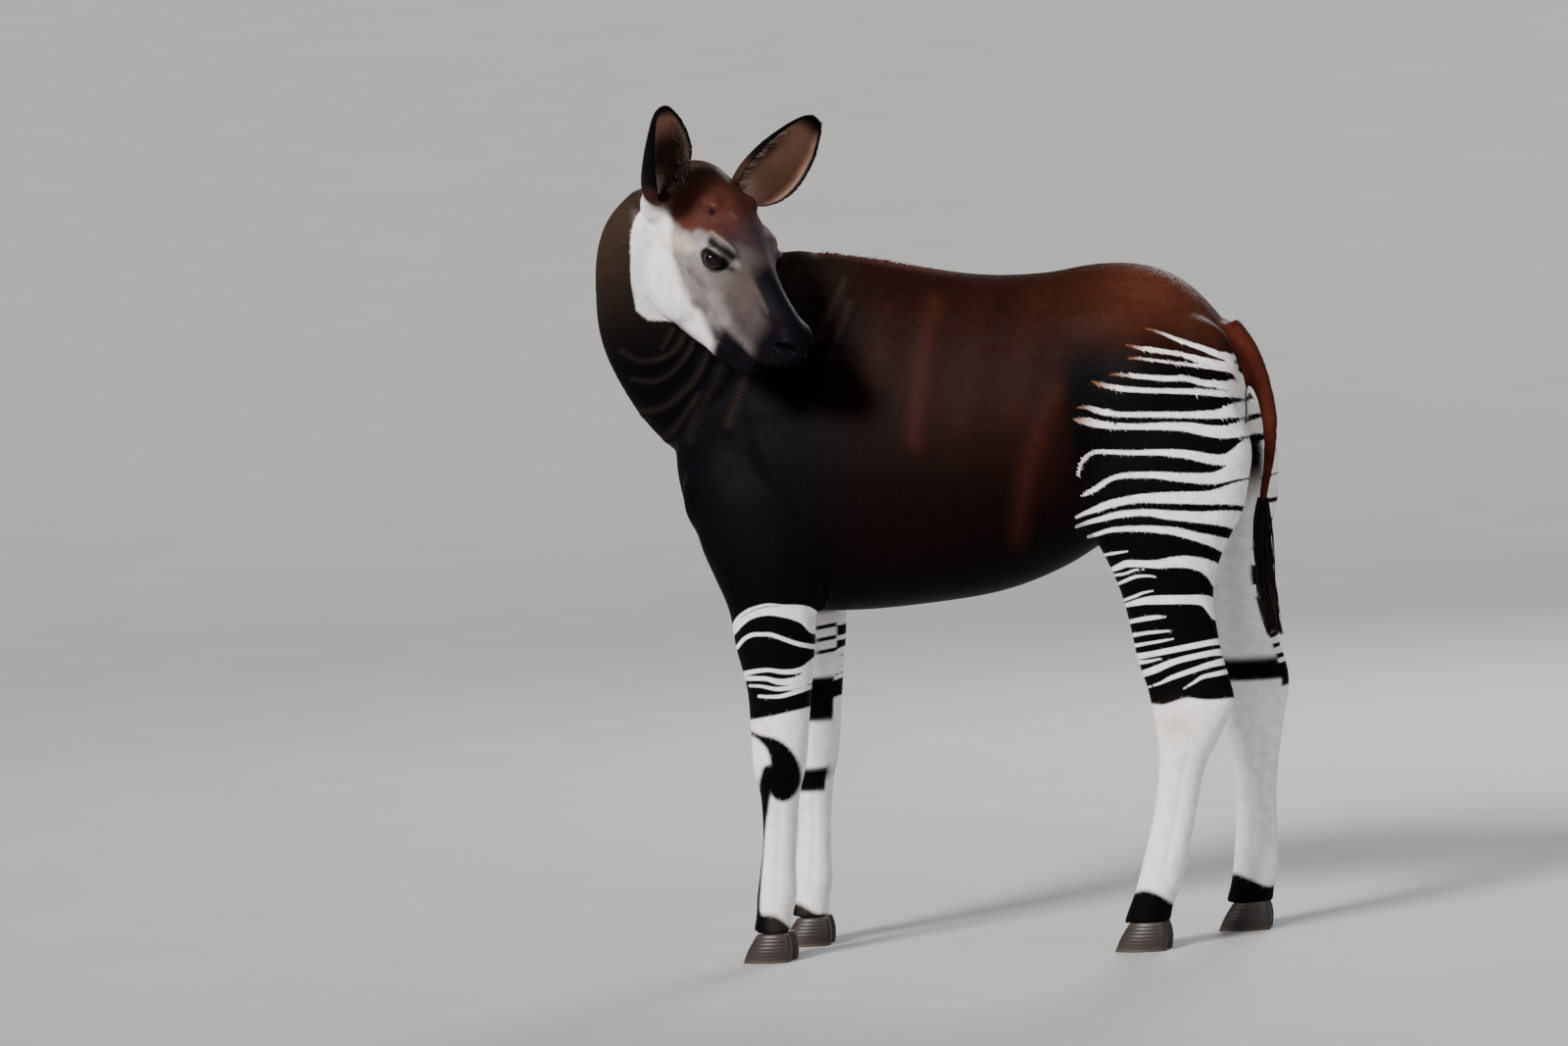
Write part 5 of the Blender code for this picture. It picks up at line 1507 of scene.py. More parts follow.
def face_forms(points, normals):
    """Nostrils, lips, creases and small swellings modelled on the skin of the head."""
    place = to_head(points)
    near = np.flatnonzero((np.abs(place[:, 0] - 0.2) < 0.26) & (np.linalg.norm(place, axis=1) < 0.48))
    spots = place[near]
    ways = normals[near] @ HEAD_TURN
    move = np.zeros_like(spots)
    for side in (-1, 1):
        mirror = np.array((1, side, 1))
        own = (spots[:, 1] * side > -0.001)[:, None]
        for line, half, depth in CREASES:
            on_middle = all(y == 0 for _, y, _ in line)
            if on_middle and side < 0:
                continue
            share = bell(line_distance(spots, np.array(line) * MM * mirror) / (half * MM))[:, None]
            move -= ways * share * depth * MM * (1 if on_middle else own)
        for middle, radii, height in SWELLINGS:
            if middle[1] == 0 and side < 0:
                continue
            away = np.linalg.norm((spots - np.array(middle) * MM * mirror) / (np.array(radii) * MM), axis=1)
            move += ways * (height * MM) * bell(away)[:, None]
        for step in nostril_steps(spots, ways, side):
            move += step * own
    points = points.copy()
    points[near] += move @ HEAD_TURN.T
    return points


def fold_skin(points, normals):
    """Raises the folds of loose skin of neck, shoulder and flank."""
    near = near_folds(points)
    points = points.copy()
    for share, height, _, _ in fold_cover(points[near]):
        points[near] += normals[near] * (share * height * MM)[:, None]
    return points


def leg_grooves(points, normals):
    """Grooves of the tendons along the cannons."""
    x, y, z = points.T
    flat = ramp(np.abs(normals[:, 1]), 0.4, 0.8)
    move = np.zeros(len(points))
    for name, rows, side, back in LEGS:
        low, high, share = GROOVES[name.split("_")[0]]
        table = np.array(rows[::-1], float)
        front, rear = np.interp(z, table[:, 0], table[:, 1]), np.interp(z, table[:, 0], table[:, 2])
        groove = front + (rear - front) * share + set_back(z, back)
        mine = (y * side > 0) & (z > low - 0.03) & (z < high + 0.03) & (x > front - 0.03) & (x < rear + 0.03)
        reach = ramp(z, low - 0.02, low + 0.03) * (1 - ramp(z, high - 0.03, high + 0.02))
        move -= mine * flat * reach * bell((x - groove) / GROOVE_HALF) * GROOVE_DEPTH
    return points + normals * move[:, None]


def in_fine_zone(points):
    """True round the eyes and over muzzle and lips, where the skin is modelled more finely."""
    place = to_head(points)
    fine = (place[:, 0] > 0.262) & (np.linalg.norm(place, axis=1) < 0.48) & (np.abs(place[:, 1]) < 0.09)
    for side in (-1, 1):
        fine |= np.linalg.norm(points - ball_frame(side)[0], axis=1) < 0.036
    return fine


def softness_of(points):
    """How much the skin is evened out at each point: least on the legs and the ears."""
    place = to_head(points)
    head = 1 - ramp(np.linalg.norm(points - HEAD_MIDDLE, axis=1), 0.26, 0.36)
    softness = np.clip((points[:, 2] - 0.60) / 0.2, 0.12, 1)
    softness = softness * (1 - head) + 0.9 * head
    ears = ramp(np.abs(place[:, 1]), 0.095, 0.115) * ramp(place[:, 2], 0.05, 0.09) * head
    ears = np.maximum(ears, ramp(place[:, 2], 0.115, 0.135) * head)
    return softness * (1 - 0.85 * ears)


def split_where(points, normals, triangles, chosen):
    """Splits the edges that chosen picks, and with them the triangles on them. The new points lie on
    the curve of the surface. Gives points, normals, triangles and how many points are new."""
    corners = np.sort(np.concatenate([triangles[:, pair] for pair in ((0, 1), (1, 2), (2, 0))]), axis=1)
    key, where = np.unique(corners[:, 0] * len(points) + corners[:, 1], return_inverse=True)
    edges = np.stack([key // len(points), key % len(points)], axis=1)
    where = where.reshape(3, -1).T
    cut = chosen(edges)
    number = np.cumsum(cut) - 1 + len(points)
    a, b = edges[cut].T
    run = points[b] - points[a]
    bow = np.sum((normals[b] - normals[a]) * run, axis=1) / 8
    normal = unit(normals[a] + normals[b])
    middle = (points[a] + points[b]) / 2 + normal * bow[:, None]
    split, new = cut[where], number[where]
    count = split.sum(1)
    made = [triangles[count == 0]]
    for first in range(3):
        order = [(first + k) % 3 for k in range(3)]
        one = (count == 1) & split[:, first]
        a, b, c = triangles[one][:, order].T
        m = new[one][:, first]
        made += [np.stack([a, m, c], axis=1), np.stack([m, b, c], axis=1)]
        two = (count == 2) & ~split[:, first]
        a, b, c = triangles[two][:, order].T
        m, n = new[two][:, order[1]], new[two][:, order[2]]
        made += [np.stack([m, c, n], axis=1), np.stack([a, b, m], axis=1), np.stack([a, m, n], axis=1)]
    all_three = count == 3
    a, b, c = triangles[all_three].T
    ab, bc, ca = new[all_three].T
    made += [np.stack(t, axis=1) for t in ((a, ab, ca), (ab, b, bc), (ca, bc, c), (ab, bc, ca))]
    points, normals = np.concatenate([points, middle]), np.concatenate([normals, normal])
    return points, normals, np.concatenate(made), len(middle)


def sharpened(points, normals, triangles, colours, rounds):
    """Splits triangles that a marking's edge runs through, so that its edge is drawn sharply."""
    for _ in range(rounds):

        def on_an_edge(edges):
            change = np.abs(colours[edges[:, 0]] - colours[edges[:, 1]]).sum(1)
            length = np.linalg.norm(points[edges[:, 0]] - points[edges[:, 1]], axis=1)
            return (change > 0.30) & (length > 1.3 * MM)

        points, normals, triangles, new = split_where(points, normals, triangles, on_an_edge)
        middle, normal = points[-new:], normals[-new:]
        added = coat_colour(middle, normal, place_fields(middle, normal))
        colours = np.concatenate([colours, added])
    return points, normals, triangles, colours


def modelled_skin():
    """The whole skin with its small forms: points, normals and triangles."""
    points, quads = outermost(*fused(flesh_forms()))
    points = relaxed(points, edges_of(quads), softness_of(points), RELAX_ROUNDS)
    normals = normals_of(points, quads)
    triangles = np.concatenate([quads[:, (0, 1, 2)], quads[:, (0, 2, 3)]])
    fine = in_fine_zone(points)
    points, normals, triangles, _ = split_where(
        points, normals, triangles, lambda edges: fine[edges].all(axis=1))
    for forms in (face_forms, fold_skin, leg_grooves):
        points = forms(points, normals)
    points = seat_eyes(points)
    points = relaxed(points, edges_of(triangles), np.full(len(points), 0.25), 2)
    return points, normals_of(points, triangles), triangles


def in_face(points):
    """1 on the face in front of the ears, where hair is shortest, 0 elsewhere."""
    place = to_head(points)
    return ramp(place[:, 0], 0.12, 0.24) * (np.abs(place[:, 1]) < 0.12) * (place[:, 2] > -0.2)


def coat_of(part):
    """The coat's row for a part of the body, left and right alike."""
    return COAT[part.split("_")[0]]


def spread_roots(points, normals, fields, triangles, draw):
    """Roots for the tufts, spread evenly over the skin and closer where the tufts are small: places,
    normals and lie of the hair."""
    a, b, c = (points[triangles[:, k]] for k in range(3))
    area = np.linalg.norm(np.cross(b - a, c - a), axis=1) / 2
    part = fields["part"][triangles[:, 0]]
    gap = np.array([coat_of(name)[0] for name, _, _ in LINES])[part] * MM
    gap = gap * (1 - FACE_SPACING * in_face(a))
    number = np.floor(area / gap**2 * SEEDS + draw.random(len(area))).astype(int)
    owner = np.repeat(np.arange(len(area)), number)
    u, v = draw.random(len(owner)), draw.random(len(owner))
    over = u + v > 1
    u[over], v[over] = 1 - u[over], 1 - v[over]
    weights = np.stack([1 - u - v, u, v], axis=1)

    def mixed(values):
        return np.einsum("nk,nkd->nd", weights, values[triangles[owner]])

    places = mixed(points)
    cell = np.floor(places / gap[owner][:, None] + draw.random(3)).astype(np.int64) + GRID // 4
    key = ((cell[:, 0] * GRID + cell[:, 1]) * GRID + cell[:, 2]) * len(LINES) + part[owner]
    kept = np.sort(np.unique(key, return_index=True)[1])
    normal = unit(mixed(normals))[kept]
    hair = mixed(fields["hair"])[kept]
    hair = unit(hair - normal * np.sum(hair * normal, axis=1)[:, None])
    return places[kept], normal, hair


def tuft_mesh(roots, normals, hair, sizes, draw):
    """One thin closed tuft of four faces at each root: points, faces and shading normals."""
    count = len(roots)
    length, width, thick, lift = sizes.T
    yaw = draw.normal(0, 0.14, count)
    side = np.cross(normals, hair)
    way = hair * np.cos(yaw)[:, None] + side * np.sin(yaw)[:, None]
    side = np.cross(normals, way)
    length = length * draw.uniform(0.8, 1.2, count)
    width = width * draw.uniform(0.8, 1.15, count)
    rise = np.radians(lift * draw.uniform(0.5, 1.5, count))
    start = roots - normals * (0.35 * thick)[:, None]
    left = start + side * (width / 2)[:, None]
    right = start - side * (width / 2)[:, None]
    ridge = start + normals * thick[:, None] + way * (0.35 * length)[:, None]
    tip = start + (way * np.cos(rise)[:, None] + normals * np.sin(rise)[:, None]) * length[:, None]
    points = np.stack([left, right, ridge, tip], axis=1).reshape(-1, 3)
    first = (np.arange(count) * 4)[:, None, None]
    faces = (first + np.array(TUFT_FACES)).reshape(-1, 3)
    lean = draw.normal(0, 0.07, (2, count, 1))
    base = unit(normals + side * lean[0] + way * lean[1])
    shading = np.stack([base + side * 0.22, base - side * 0.22, base, base], axis=1)[:, TUFT_FACES]
    shading[:, 0] = unit(way - 0.12 * normals)[:, None]
    return points, faces, unit(shading).reshape(-1, 3)


def cell_places(places, cells):
    """Spreads each cell's own unwrap over its share of the unit square."""
    labels, which = np.unique(cells, return_inverse=True)
    columns = math.ceil(math.sqrt(len(labels)))
    made = np.empty_like(places)
    for number in range(len(labels)):
        mine = which == number
        some = places[mine]
        low, high = some.min(0), some.max(0)
        some = 0.01 + 0.98 * (some - low) / np.maximum(high - low, 1e-6)
        made[mine] = (some + (number % columns, number // columns)) / columns
    return made


def bake_map(piece, places):
    """Gives a piece of tufts a map for baking its colours on: a small patch at each root's place."""
    layer = piece.data.uv_layers.new(name="OFBake")
    patch = np.array(((-1, -1), (1, -1), (0, 0), (0, 1))) * PATCH / 2
    spots = (places[:, None, :] + patch).reshape(-1, 2)
    corners = np.empty(len(piece.data.loops), np.int32)
    piece.data.loops.foreach_get("vertex_index", corners)
    layer.data.foreach_set("uv", np.clip(spots, 0, 1)[corners].ravel())


def reach_of_coat(roots):
    """How long the hair is for its part: shorter round the lips."""
    place = to_head(roots)
    lips = ramp(place[:, 0], 0.33, 0.40) * (np.abs(place[:, 1]) < 0.09)
    return 1 - LIPS_SHORTER * lips


def bare_skin(roots):
    """True at nostrils, lips and lids, which have no hair."""
    place = to_head(roots)
    place[:, 1] = np.abs(place[:, 1])
    bare = np.linalg.norm((place - np.array(NOSTRIL)) / NOSTRIL_BARE, axis=1) < 1
    bare |= (place[:, 0] > 0.415) & (place[:, 2] < 0.03)
    bare |= line_distance(place, np.array(MOUTH) * MM) < MOUTH_BARE
    for side in (-1, 1):
        far, _, past = past_lids(roots, side)
        bare |= (far < 0.03) & (past < HAIR_PAST_LIDS)
    return bare


def lay_coat(roots, normals, hair, draw):
    """Makes the pieces of the short coat."""
    fields = place_fields(roots, normals)
    names = [name for name, _, _ in LINES]
    sizes = np.array([coat_of(name)[1:] for name in names])[fields["part"]] * (MM, MM, MM, 1)
    sizes = sizes * (1 - in_face(roots)[:, None] * FACE_TUFTS)
    sizes[:, :3] *= reach_of_coat(roots)[:, None]
    shown = roots + hair * (sizes[:, :1] * 0.45)
    colours = coat_colour(shown, normals, place_fields(shown, normals))
    colours = colours * draw.normal(1, 0.09, (len(roots), 1)).clip(0.75, 1.3)
    haired = ~bare_skin(roots)
    for name, slot, parts, side in COAT_PIECES:
        wanted = haired & np.isin(fields["part"], [names.index(part) for part in parts])
        if side:
            wanted &= (roots[:, 1] - 0.004) * side > 0
        points, faces, shading = tuft_mesh(roots[wanted], normals[wanted], hair[wanted], sizes[wanted], draw)
        piece = object_of(name, points, faces)
        set_colours(piece, np.repeat(colours[wanted], 4, axis=0))
        set_grain(piece, np.repeat(fields["grain"][wanted], 4, axis=0))
        bake_map(piece, cell_places(fields["unwrap"][wanted], fields["cell"][wanted]))
        piece.data.normals_split_custom_set(shading.tolist())
        carried(piece, fur)


def eyeballs():
    """Both eyes: a ball with a raised cornea, a dark iris and a wide pupil."""
    polar = np.linspace(0, math.pi, 61)[1:-1]
    turn = np.linspace(0, 2 * math.pi, 72, endpoint=False)
    radius = EYE_RADIUS + CORNEA_RISE * np.clip(1 - (polar / CORNEA_WIDE) ** 2, 0, 1)
    for name, side in EYES:
        middle, out, across, up = ball_frame(side)
        flat = np.outer(np.cos(turn), across) + np.outer(np.sin(turn), up)
        rings = [middle + (np.cos(p) * out + np.sin(p) * flat) * r for p, r in zip(polar, radius)]
        points, faces = lofted(rings)
        points[-2] = middle + out * (EYE_RADIUS + CORNEA_RISE)
        points[-1] = middle - out * EYE_RADIUS
        local = points - middle
        wide, high = local @ across, local @ up
        centre = np.hypot(wide, high)
        front = local @ out > 0
        iris = (1 - ramp(centre, *IRIS)) * front
        pupil = (1 - ramp(np.hypot(wide / PUPIL[0], high / PUPIL[1]), 0.85, 1.1)) * front
        streaks = 0.75 + 0.25 * np.sin(np.arctan2(high, wide) * 38) * ramp(centre, 0.004, 0.009)
        colours = laid(plain("eyeball", len(points)), ("iris", iris)) * streaks[:, None]
        colours = laid(colours, ("pupil", pupil))
        coloured_piece(f"eyeball_{name}", points, faces, colours, wet_eye, [f"eye_{name}"])


def lids():
    """The dark lids round both eyes, as one closed ring each, with a painted highlight along the wet margin.
    """
    steps, count = 140, len(LID_ROWS)
    turn = np.linspace(-math.pi, math.pi, steps, endpoint=False)
    edge = np.interp(turn, *lid_edge())
    faces = grid_faces(count, steps, closed=True)[:, (0, 3, 2, 1)]
    colours = plain("lid", count * steps)
    # The margin row is paler: a painted highlight of the wet rim
    colours[steps:2 * steps] = TINT["lid_edge"]
    for name, side in EYES:
        middle, out, across, up = ball_frame(side)
        flat = np.outer(np.cos(turn), across) + np.outer(np.sin(turn), up)
        rows = []
        for past, height in LID_ROWS:
            angle = edge + math.radians(past)
            thick = height * (1 + 0.22 * np.clip(np.sin(turn), 0, 1) * (height > 0))
            radius = EYE_RADIUS + thick * MM
            rows.append(middle + (np.cos(angle) * out[:, None] + np.sin(angle) * flat.T).T * radius[:, None])
        lid = object_of(f"lids_{name}", np.concatenate(rows), faces if side > 0 else faces[:, ::-1])
        set_colours(lid, colours)
        carried(lid, bare)


def locks(name, rows, radii, colours, material, nodes=()):
    """Closed three-sided locks of hair, one for each row of points, thick as its radii say."""
    count, stations, _ = rows.shape
    ways = unit(np.gradient(rows, axis=1))
    side = unit(np.cross(ways, np.array((0.31, 0.17, 0.93))))
    other = np.cross(ways, side)
    turns = np.arange(3) * 2 * math.pi / 3
    ring = side[:, :, None] * np.cos(turns)[:, None] + other[:, :, None] * np.sin(turns)[:, None]
    points = rows[:, :, None] + ring * radii[:, :, None, None]
    faces = [(0, 2, 1), tuple((stations - 1) * 3 + k for k in range(3))]
    for s in range(stations - 1):
        for k in range(3):
            a, b = s * 3 + k, s * 3 + (k + 1) % 3
            faces += [(a, b, b + 3), (a, b + 3, a + 3)]
    first = (np.arange(count) * stations * 3)[:, None, None]
    piece = object_of(name, points.reshape(-1, 3), (first + np.array(faces)).reshape(-1, 3))
    set_colours(piece, np.repeat(colours, stations * 3, axis=0))
    grain = np.repeat(np.arange(count) * 0.01, stations * 3)
    set_grain(piece, np.stack([grain, np.tile(np.repeat(np.arange(stations) * 0.01, 3), count)], axis=1))
    return carried(piece, material, nodes)


def tapered(count, share, root, tip, power=1.0):
    """Radii of a number of hairs along their length, from root to tip."""
    return np.tile(root * (1 - share) ** power + tip, (count, 1))


def toned(draw, count, dark, light):
    """A colour between two named ones for each hair."""
    tone = draw.random((count, 1))
    return TINT[dark] * (1 - tone) + TINT[light] * tone


def lashes(draw):
    """Lashes on the upper lids."""
    share = np.linspace(0, 1, 6)
    for name, side in EYES:
        middle, out, across, up = ball_frame(side)
        rows, count = [], 26
        for k in range(count):
            turn = math.radians(20 + 135 * (k + draw.uniform(-0.3, 0.3)) / (count - 1))
            edge = np.interp(turn, *lid_edge()) + math.radians(3)
            flat = across * math.cos(turn) + up * math.sin(turn)
            root = middle + (out * math.cos(edge) + flat * math.sin(edge)) * (EYE_RADIUS + 0.0022)
            length = draw.uniform(0.009, 0.013)
            way = unit(out * 0.95 + flat * 0.25 - up * 0.25)
            bend = up * 0.0035
            rows.append([root + way * length * s + bend * s * s for s in share])
        radii = tapered(count, share, 0.00035, 0.00006)
        locks(f"lashes_{name}", np.array(rows), radii, plain("lid", count), long_hair)


def ear_fringe(draw):
    """The long pale hair that lies across the cup of each ear from its front margin."""
    count, stations = 240, 6
    share = np.linspace(0, 1, stations)
    rows = []
    for _, root, way, opening in EARS:
        way, side, opening = ear_axes(way, opening)
        inward = -np.sign(root[1] * side[1])
        for _ in range(count):
            up = draw.uniform(0.10, 0.72)
            radius, sweep, bend = ear_section(up)
            turn = inward * (sweep - draw.uniform(0.02, 0.55))
            rim = np.array((math.sin(turn), -math.cos(turn))) * (radius - 0.004)
            place = np.array(root) + way * up * EAR_LENGTH + side * rim[0] + opening * (rim[1] - bend)
            length = draw.uniform(0.010, 0.026)
            lie = -side * inward * draw.uniform(0.3, 0.8) + way * draw.uniform(0.5, 1.0) + opening * 0.06
            lie = unit(lie)
            rows.append([place + lie * length * s - opening * 0.10 * length * s * s for s in share])
    rows = from_head(np.array(rows).reshape(-1, 3)).reshape(-1, stations, 3)
    radii = tapered(len(rows), share, 0.00042, 0.00008, 0.6)
    colours = toned(draw, len(rows), "ear_hair_dark", "ear_hair_light")
    locks("ear_fringe", rows, radii, colours, long_hair)


def whiskers(draw, points, normals):
    """Short stiff whiskers on the skin of the lips and chin."""
    count, stations = 90, 5
    share = np.linspace(0, 1, stations)
    x, _, z = to_head(points).T
    lip = (x > 0.325) & (z < -0.012) & (z > -0.10) & ((normals @ HEAD_TURN)[:, 2] < 0.3)
    chosen = draw.choice(np.flatnonzero(lip), count, replace=False)
    length = draw.uniform(0.010, 0.026, count)[:, None, None]
    way = unit(normals[chosen] * 0.7 + HEAD_TURN @ (0.6, 0.0, -0.5))
    rows = points[chosen][:, None] + way[:, None] * share[:, None] * length
    rows[:, :, 2] -= 0.25 * length[:, :, 0] * share**2
    radii = tapered(count, share, 0.00028, 0.00006)
    locks("whiskers", rows, radii, plain("whisker", count), long_hair)


def tail_tuft(draw):
    """The long black hair at the end of the tail."""
    count, stations = 420, 9
    share = np.linspace(0, 1, stations)
    core = smooth_rows(TUFT_CORE, 6)
    start = draw.uniform(*TUFT_ROOTS, count)
    turn = draw.uniform(0, 2 * math.pi, count)
    length = np.minimum(draw.uniform(0.10, 0.20, count), start - TUFT_END)
    out = np.stack([np.cos(turn), np.sin(turn), np.zeros(count)], axis=1)
    height = start[:, None] - length[:, None] * share
    x = np.interp(height, core[::-1, 2], core[::-1, 0])
    middle = np.stack([x, np.zeros_like(height), height], axis=2)
    reach = 0.006 * (1 - share) + draw.uniform(0.001, 0.014, count)[:, None] * np.sin(0.2 + share * 2.8)
    stray = draw.uniform(-0.012, 0.016, count)[:, None] * share**2
    rows = middle + out[:, None] * reach[:, :, None] + np.array((1.0, 0.2, 0)) * stray[:, :, None]
    radii = tapered(count, share, 0.0012, 0.0002, 0.5) * draw.uniform(0.7, 1.3, (count, 1))
    colours = toned(draw, count, "tuft_dark", "tuft_light")
    locks("tail_tuft_hair", rows, radii, colours, long_hair, ["tail_tuft"])


def withers_mane(draw):
    """The short reddish mane left on the withers of a young animal."""
    count, stations = 900, 5
    share = np.linspace(0, 1, stations)
    table = np.array(MANE)
    x = draw.uniform(table[0, 0], table[-1, 0], count)
    y = draw.normal(0, 0.0045, count)
    z = np.interp(x, table[:, 0], table[:, 1]) - 0.004 - 90 * y**2
    length = draw.uniform(0.014, 0.024, count) * np.interp(x, table[:, 0], table[:, 2])
    lean = np.radians(draw.normal(30, 8, count))
    way = np.stack([np.cos(lean), y * 30, np.sin(lean)], axis=1)
    rows = np.stack([x, y, z], axis=1)[:, None] + way[:, None] * (share[:, None] * length[:, None, None])
    rows[:, :, 2] -= 0.22 * length[:, None] * share**2
    colours = toned(draw, count, "mane_dark", "mane_light")
    locks("withers_mane", rows, tapered(count, share, 0.0009, 0.00015, 0.6), colours, long_hair)


def claw_rings(side, length):
    """Rings of one claw from the sole up, in its hoof's own axes."""
    angle = np.linspace(0, 2 * math.pi, 64, endpoint=False)
    pinch = 1 - CLAW_PINCH * np.clip(-np.cos(angle), 0, 1) ** 2
    rings = []
    for z, toe, heel, half, middle in smooth_rows(CLAW, 10):
        ridge = HORN_RING * math.sin(z * 2 * math.pi / HORN_RING_SPACING)
        along = (toe + heel) / 2 + ((heel - toe) / 2 + ridge) * np.cos(angle)
        across = (half + ridge) * np.sign(np.sin(angle)) * np.abs(np.sin(angle)) ** CLAW_SQUARENESS
        across = np.maximum(middle + across * pinch, CLEFT)
        rings.append(np.stack([along * length, side * across, np.full(len(angle), z)], axis=1))
    return rings if side > 0 else [ring[::-1] for ring in rings]


def hooves():
    """Cloven hooves with growth rings and a paler edge at the coronet."""
    for name, x, y, length, turn in HOOVES:
        turned = np.array(Matrix.Rotation(math.radians(turn), 3, "Z")).T
        points, faces = [], []
        for side in (-1, 1):
            some, quads = lofted([ring @ turned + (x, y, 0) for ring in claw_rings(side, length)])
            faces += [tuple(i + len(points) * len(some) for i in face) for face in quads]
            points.append(some)
        points = np.concatenate(points)
        z = points[:, 2]
        colours = laid(
            plain("horn", len(points)),
            ("worn_horn", 0.6 * (1 - ramp(z, 0.0, 0.012))),
            ("horn_crown", ramp(z, 0.040, 0.052)),
        )
        nodes = [f"hoof_{name}_left", f"hoof_{name}_right"]
        coloured_piece(f"hooves_{name}", points, faces, colours, horn, nodes)


def node(tree, kind, settings=(), links=()):
    """Adds a shader node with its settings and with links from other nodes' outputs."""
    made = tree.nodes.new(kind)
    for key, value in dict(settings).items():
        if key in made.inputs:
            made.inputs[key].default_value = value
        else:
            setattr(made, key, value)
    for key, (source, output) in dict(links).items():
        tree.links.new(source.outputs[output], made.inputs[key])
    return made


def varied(tree, colour, noise, amount, low=0.0, high=1.0):
    """A colour made lighter and darker by a share of it, as a noise goes from low to high."""
    settings = {"From Min": low, "From Max": high, "To Min": 1 - amount, "To Max": 1 + amount}
    tone = node(tree, "ShaderNodeMapRange", settings, {"Value": (noise, "Fac")})
    links = {"Vector": colour, "Scale": (tone, "Result")}
    return node(tree, "ShaderNodeVectorMath", {"operation": "SCALE"}, links)


def coloured_material(name, roughness, clumps, streak, contrast, bump, gloss=0.0, shine=0.4, along_hair=False,
                      patchy=0.0):
    """A surface that takes its markings from the mesh, with fine streaks over them. Clumps says how many
    lie in 10 mm, and streak how fast the pattern runs each way: along the hair's grain or in the body."""
    made = bpy.data.materials.new(name)
    made.use_nodes = True
    tree = made.node_tree
    shader = tree.nodes["Principled BSDF"]
    marking = node(tree, "ShaderNodeAttribute", {"attribute_name": "coat"})
    body = node(tree, "ShaderNodeTexCoord")
    source = (body, "Object")
    if along_hair:
        source = (node(tree, "ShaderNodeAttribute", {"attribute_name": "grain"}), "Vector")
    stretched = node(tree, "ShaderNodeMapping", {"Scale": streak}, {"Vector": source})
    settings = {"Scale": clumps / (10 * MM), "Detail": 3.0}
    fine = node(tree, "ShaderNodeTexNoise", settings, {"Vector": (stretched, "Vector")})
    shade = varied(tree, (marking, "Color"), fine, contrast)
    if patchy:
        settings = {"Scale": COAT_PATCHES / (100 * MM), "Detail": 4.0, "Roughness": 0.65}
        patches = node(tree, "ShaderNodeTexNoise", settings, {"Vector": (body, "Object")})
        shade = varied(tree, (shade, "Vector"), patches, patchy, 0.3, 0.7)
    tree.links.new(shade.outputs["Vector"], shader.inputs["Base Color"])
    if bump:
        relief = node(tree, "ShaderNodeBump", {"Strength": 0.6, "Distance": bump}, {"Height": (fine, "Fac")})
        tree.links.new(relief.outputs["Normal"], shader.inputs["Normal"])
    values = {"Roughness": roughness, "Coat Weight": gloss, "Coat Roughness": 0.03}
    values["Specular IOR Level"] = shine
    for key, value in values.items():
        shader.inputs[key].default_value = value
    return made


def camera():
    """The camera that sees the animal as the photograph does."""
    level = math.cos(CAMERA_RISE)
    back = Vector((math.sin(CAMERA_TURN) * level, -math.cos(CAMERA_TURN) * level, math.sin(CAMERA_RISE)))
    right = Vector((math.cos(CAMERA_TURN), math.sin(CAMERA_TURN), 0))
    up = back.cross(right)
    across = right * math.cos(CAMERA_ROLL) - up * math.sin(CAMERA_ROLL)
    upward = right * math.sin(CAMERA_ROLL) + up * math.cos(CAMERA_ROLL)
    data = bpy.data.cameras.new("camera")
    data.lens = LENS
    data.sensor_width = SENSOR
    place = Matrix((across, upward, back)).transposed().to_4x4()
    place.translation = Vector(CAMERA_AIM) + Vector(OFFSET) + back * CAMERA_AWAY
    made = linked("camera", data)
    made.matrix_world = place
    bpy.context.scene.camera = made


def light(name, kind, place, size, power, tint):
    """A soft light that shines on the animal's middle: a far one, or a round panel."""
    data = bpy.data.lights.new(name, kind)
    if kind == "SUN":
        data.angle = size
    else:
        data.shape = "DISK"
        data.size = size
    data.energy = power
    data.color = tint
    made = linked(name, data)
    made.location = place
    made.rotation_euler = (LIT_POINT - Vector(place)).to_track_quat("-Z", "Y").to_euler()


def pale_paint():
    """Matt pale paint, rolled on: a little cloudy, with hardly any shine."""
    paint = bpy.data.materials.new("pale_paint")
    paint.use_nodes = True
    tree = paint.node_tree
    shader = tree.nodes["Principled BSDF"]
    place = node(tree, "ShaderNodeTexCoord")
    settings = {"Scale": FLOOR_CLOUDS / (1000 * MM), "Detail": 4.0}
    cloud = node(tree, "ShaderNodeTexNoise", settings, {"Vector": (place, "Object")})
    tone = node(tree, "ShaderNodeMapRange", {"To Min": 0.38, "To Max": 0.43}, {"Value": (cloud, "Fac")})
    tree.links.new(tone.outputs["Result"], shader.inputs["Base Color"])
    shader.inputs["Roughness"].default_value = 0.8
    shader.inputs["Specular IOR Level"].default_value = 0.2
    return paint


def studio_floor():
    """A round pale floor that rises a little like a dish, far from the animal on every side."""
    steps = 96
    turn = np.linspace(0, 2 * math.pi, steps, endpoint=False)
    rings = []
    for reach in FLOOR_RINGS:
        rise = FLOOR_SLOPE * max(0.0, reach - FLOOR_FLAT) ** 2 / (abs(reach - FLOOR_FLAT) + FLOOR_BEND)
        rings.append(np.stack([reach * np.cos(turn), reach * np.sin(turn), np.full(steps, rise)], axis=1))
    made = object_of("floor", np.concatenate(rings) - OFFSET, grid_faces(len(rings), steps)[:, ::-1])
    made.data.materials.append(pale_paint())
    return made


TINT = {name: linear(code) for name, code in COLOURS.items()}
HEAD_TURN = np.array(head_matrix().to_3x3())
HEAD_START = np.array(HEAD_ROOT)
HEAD_MIDDLE = from_head((0.15, 0, 0.02))
LINES = part_lines()

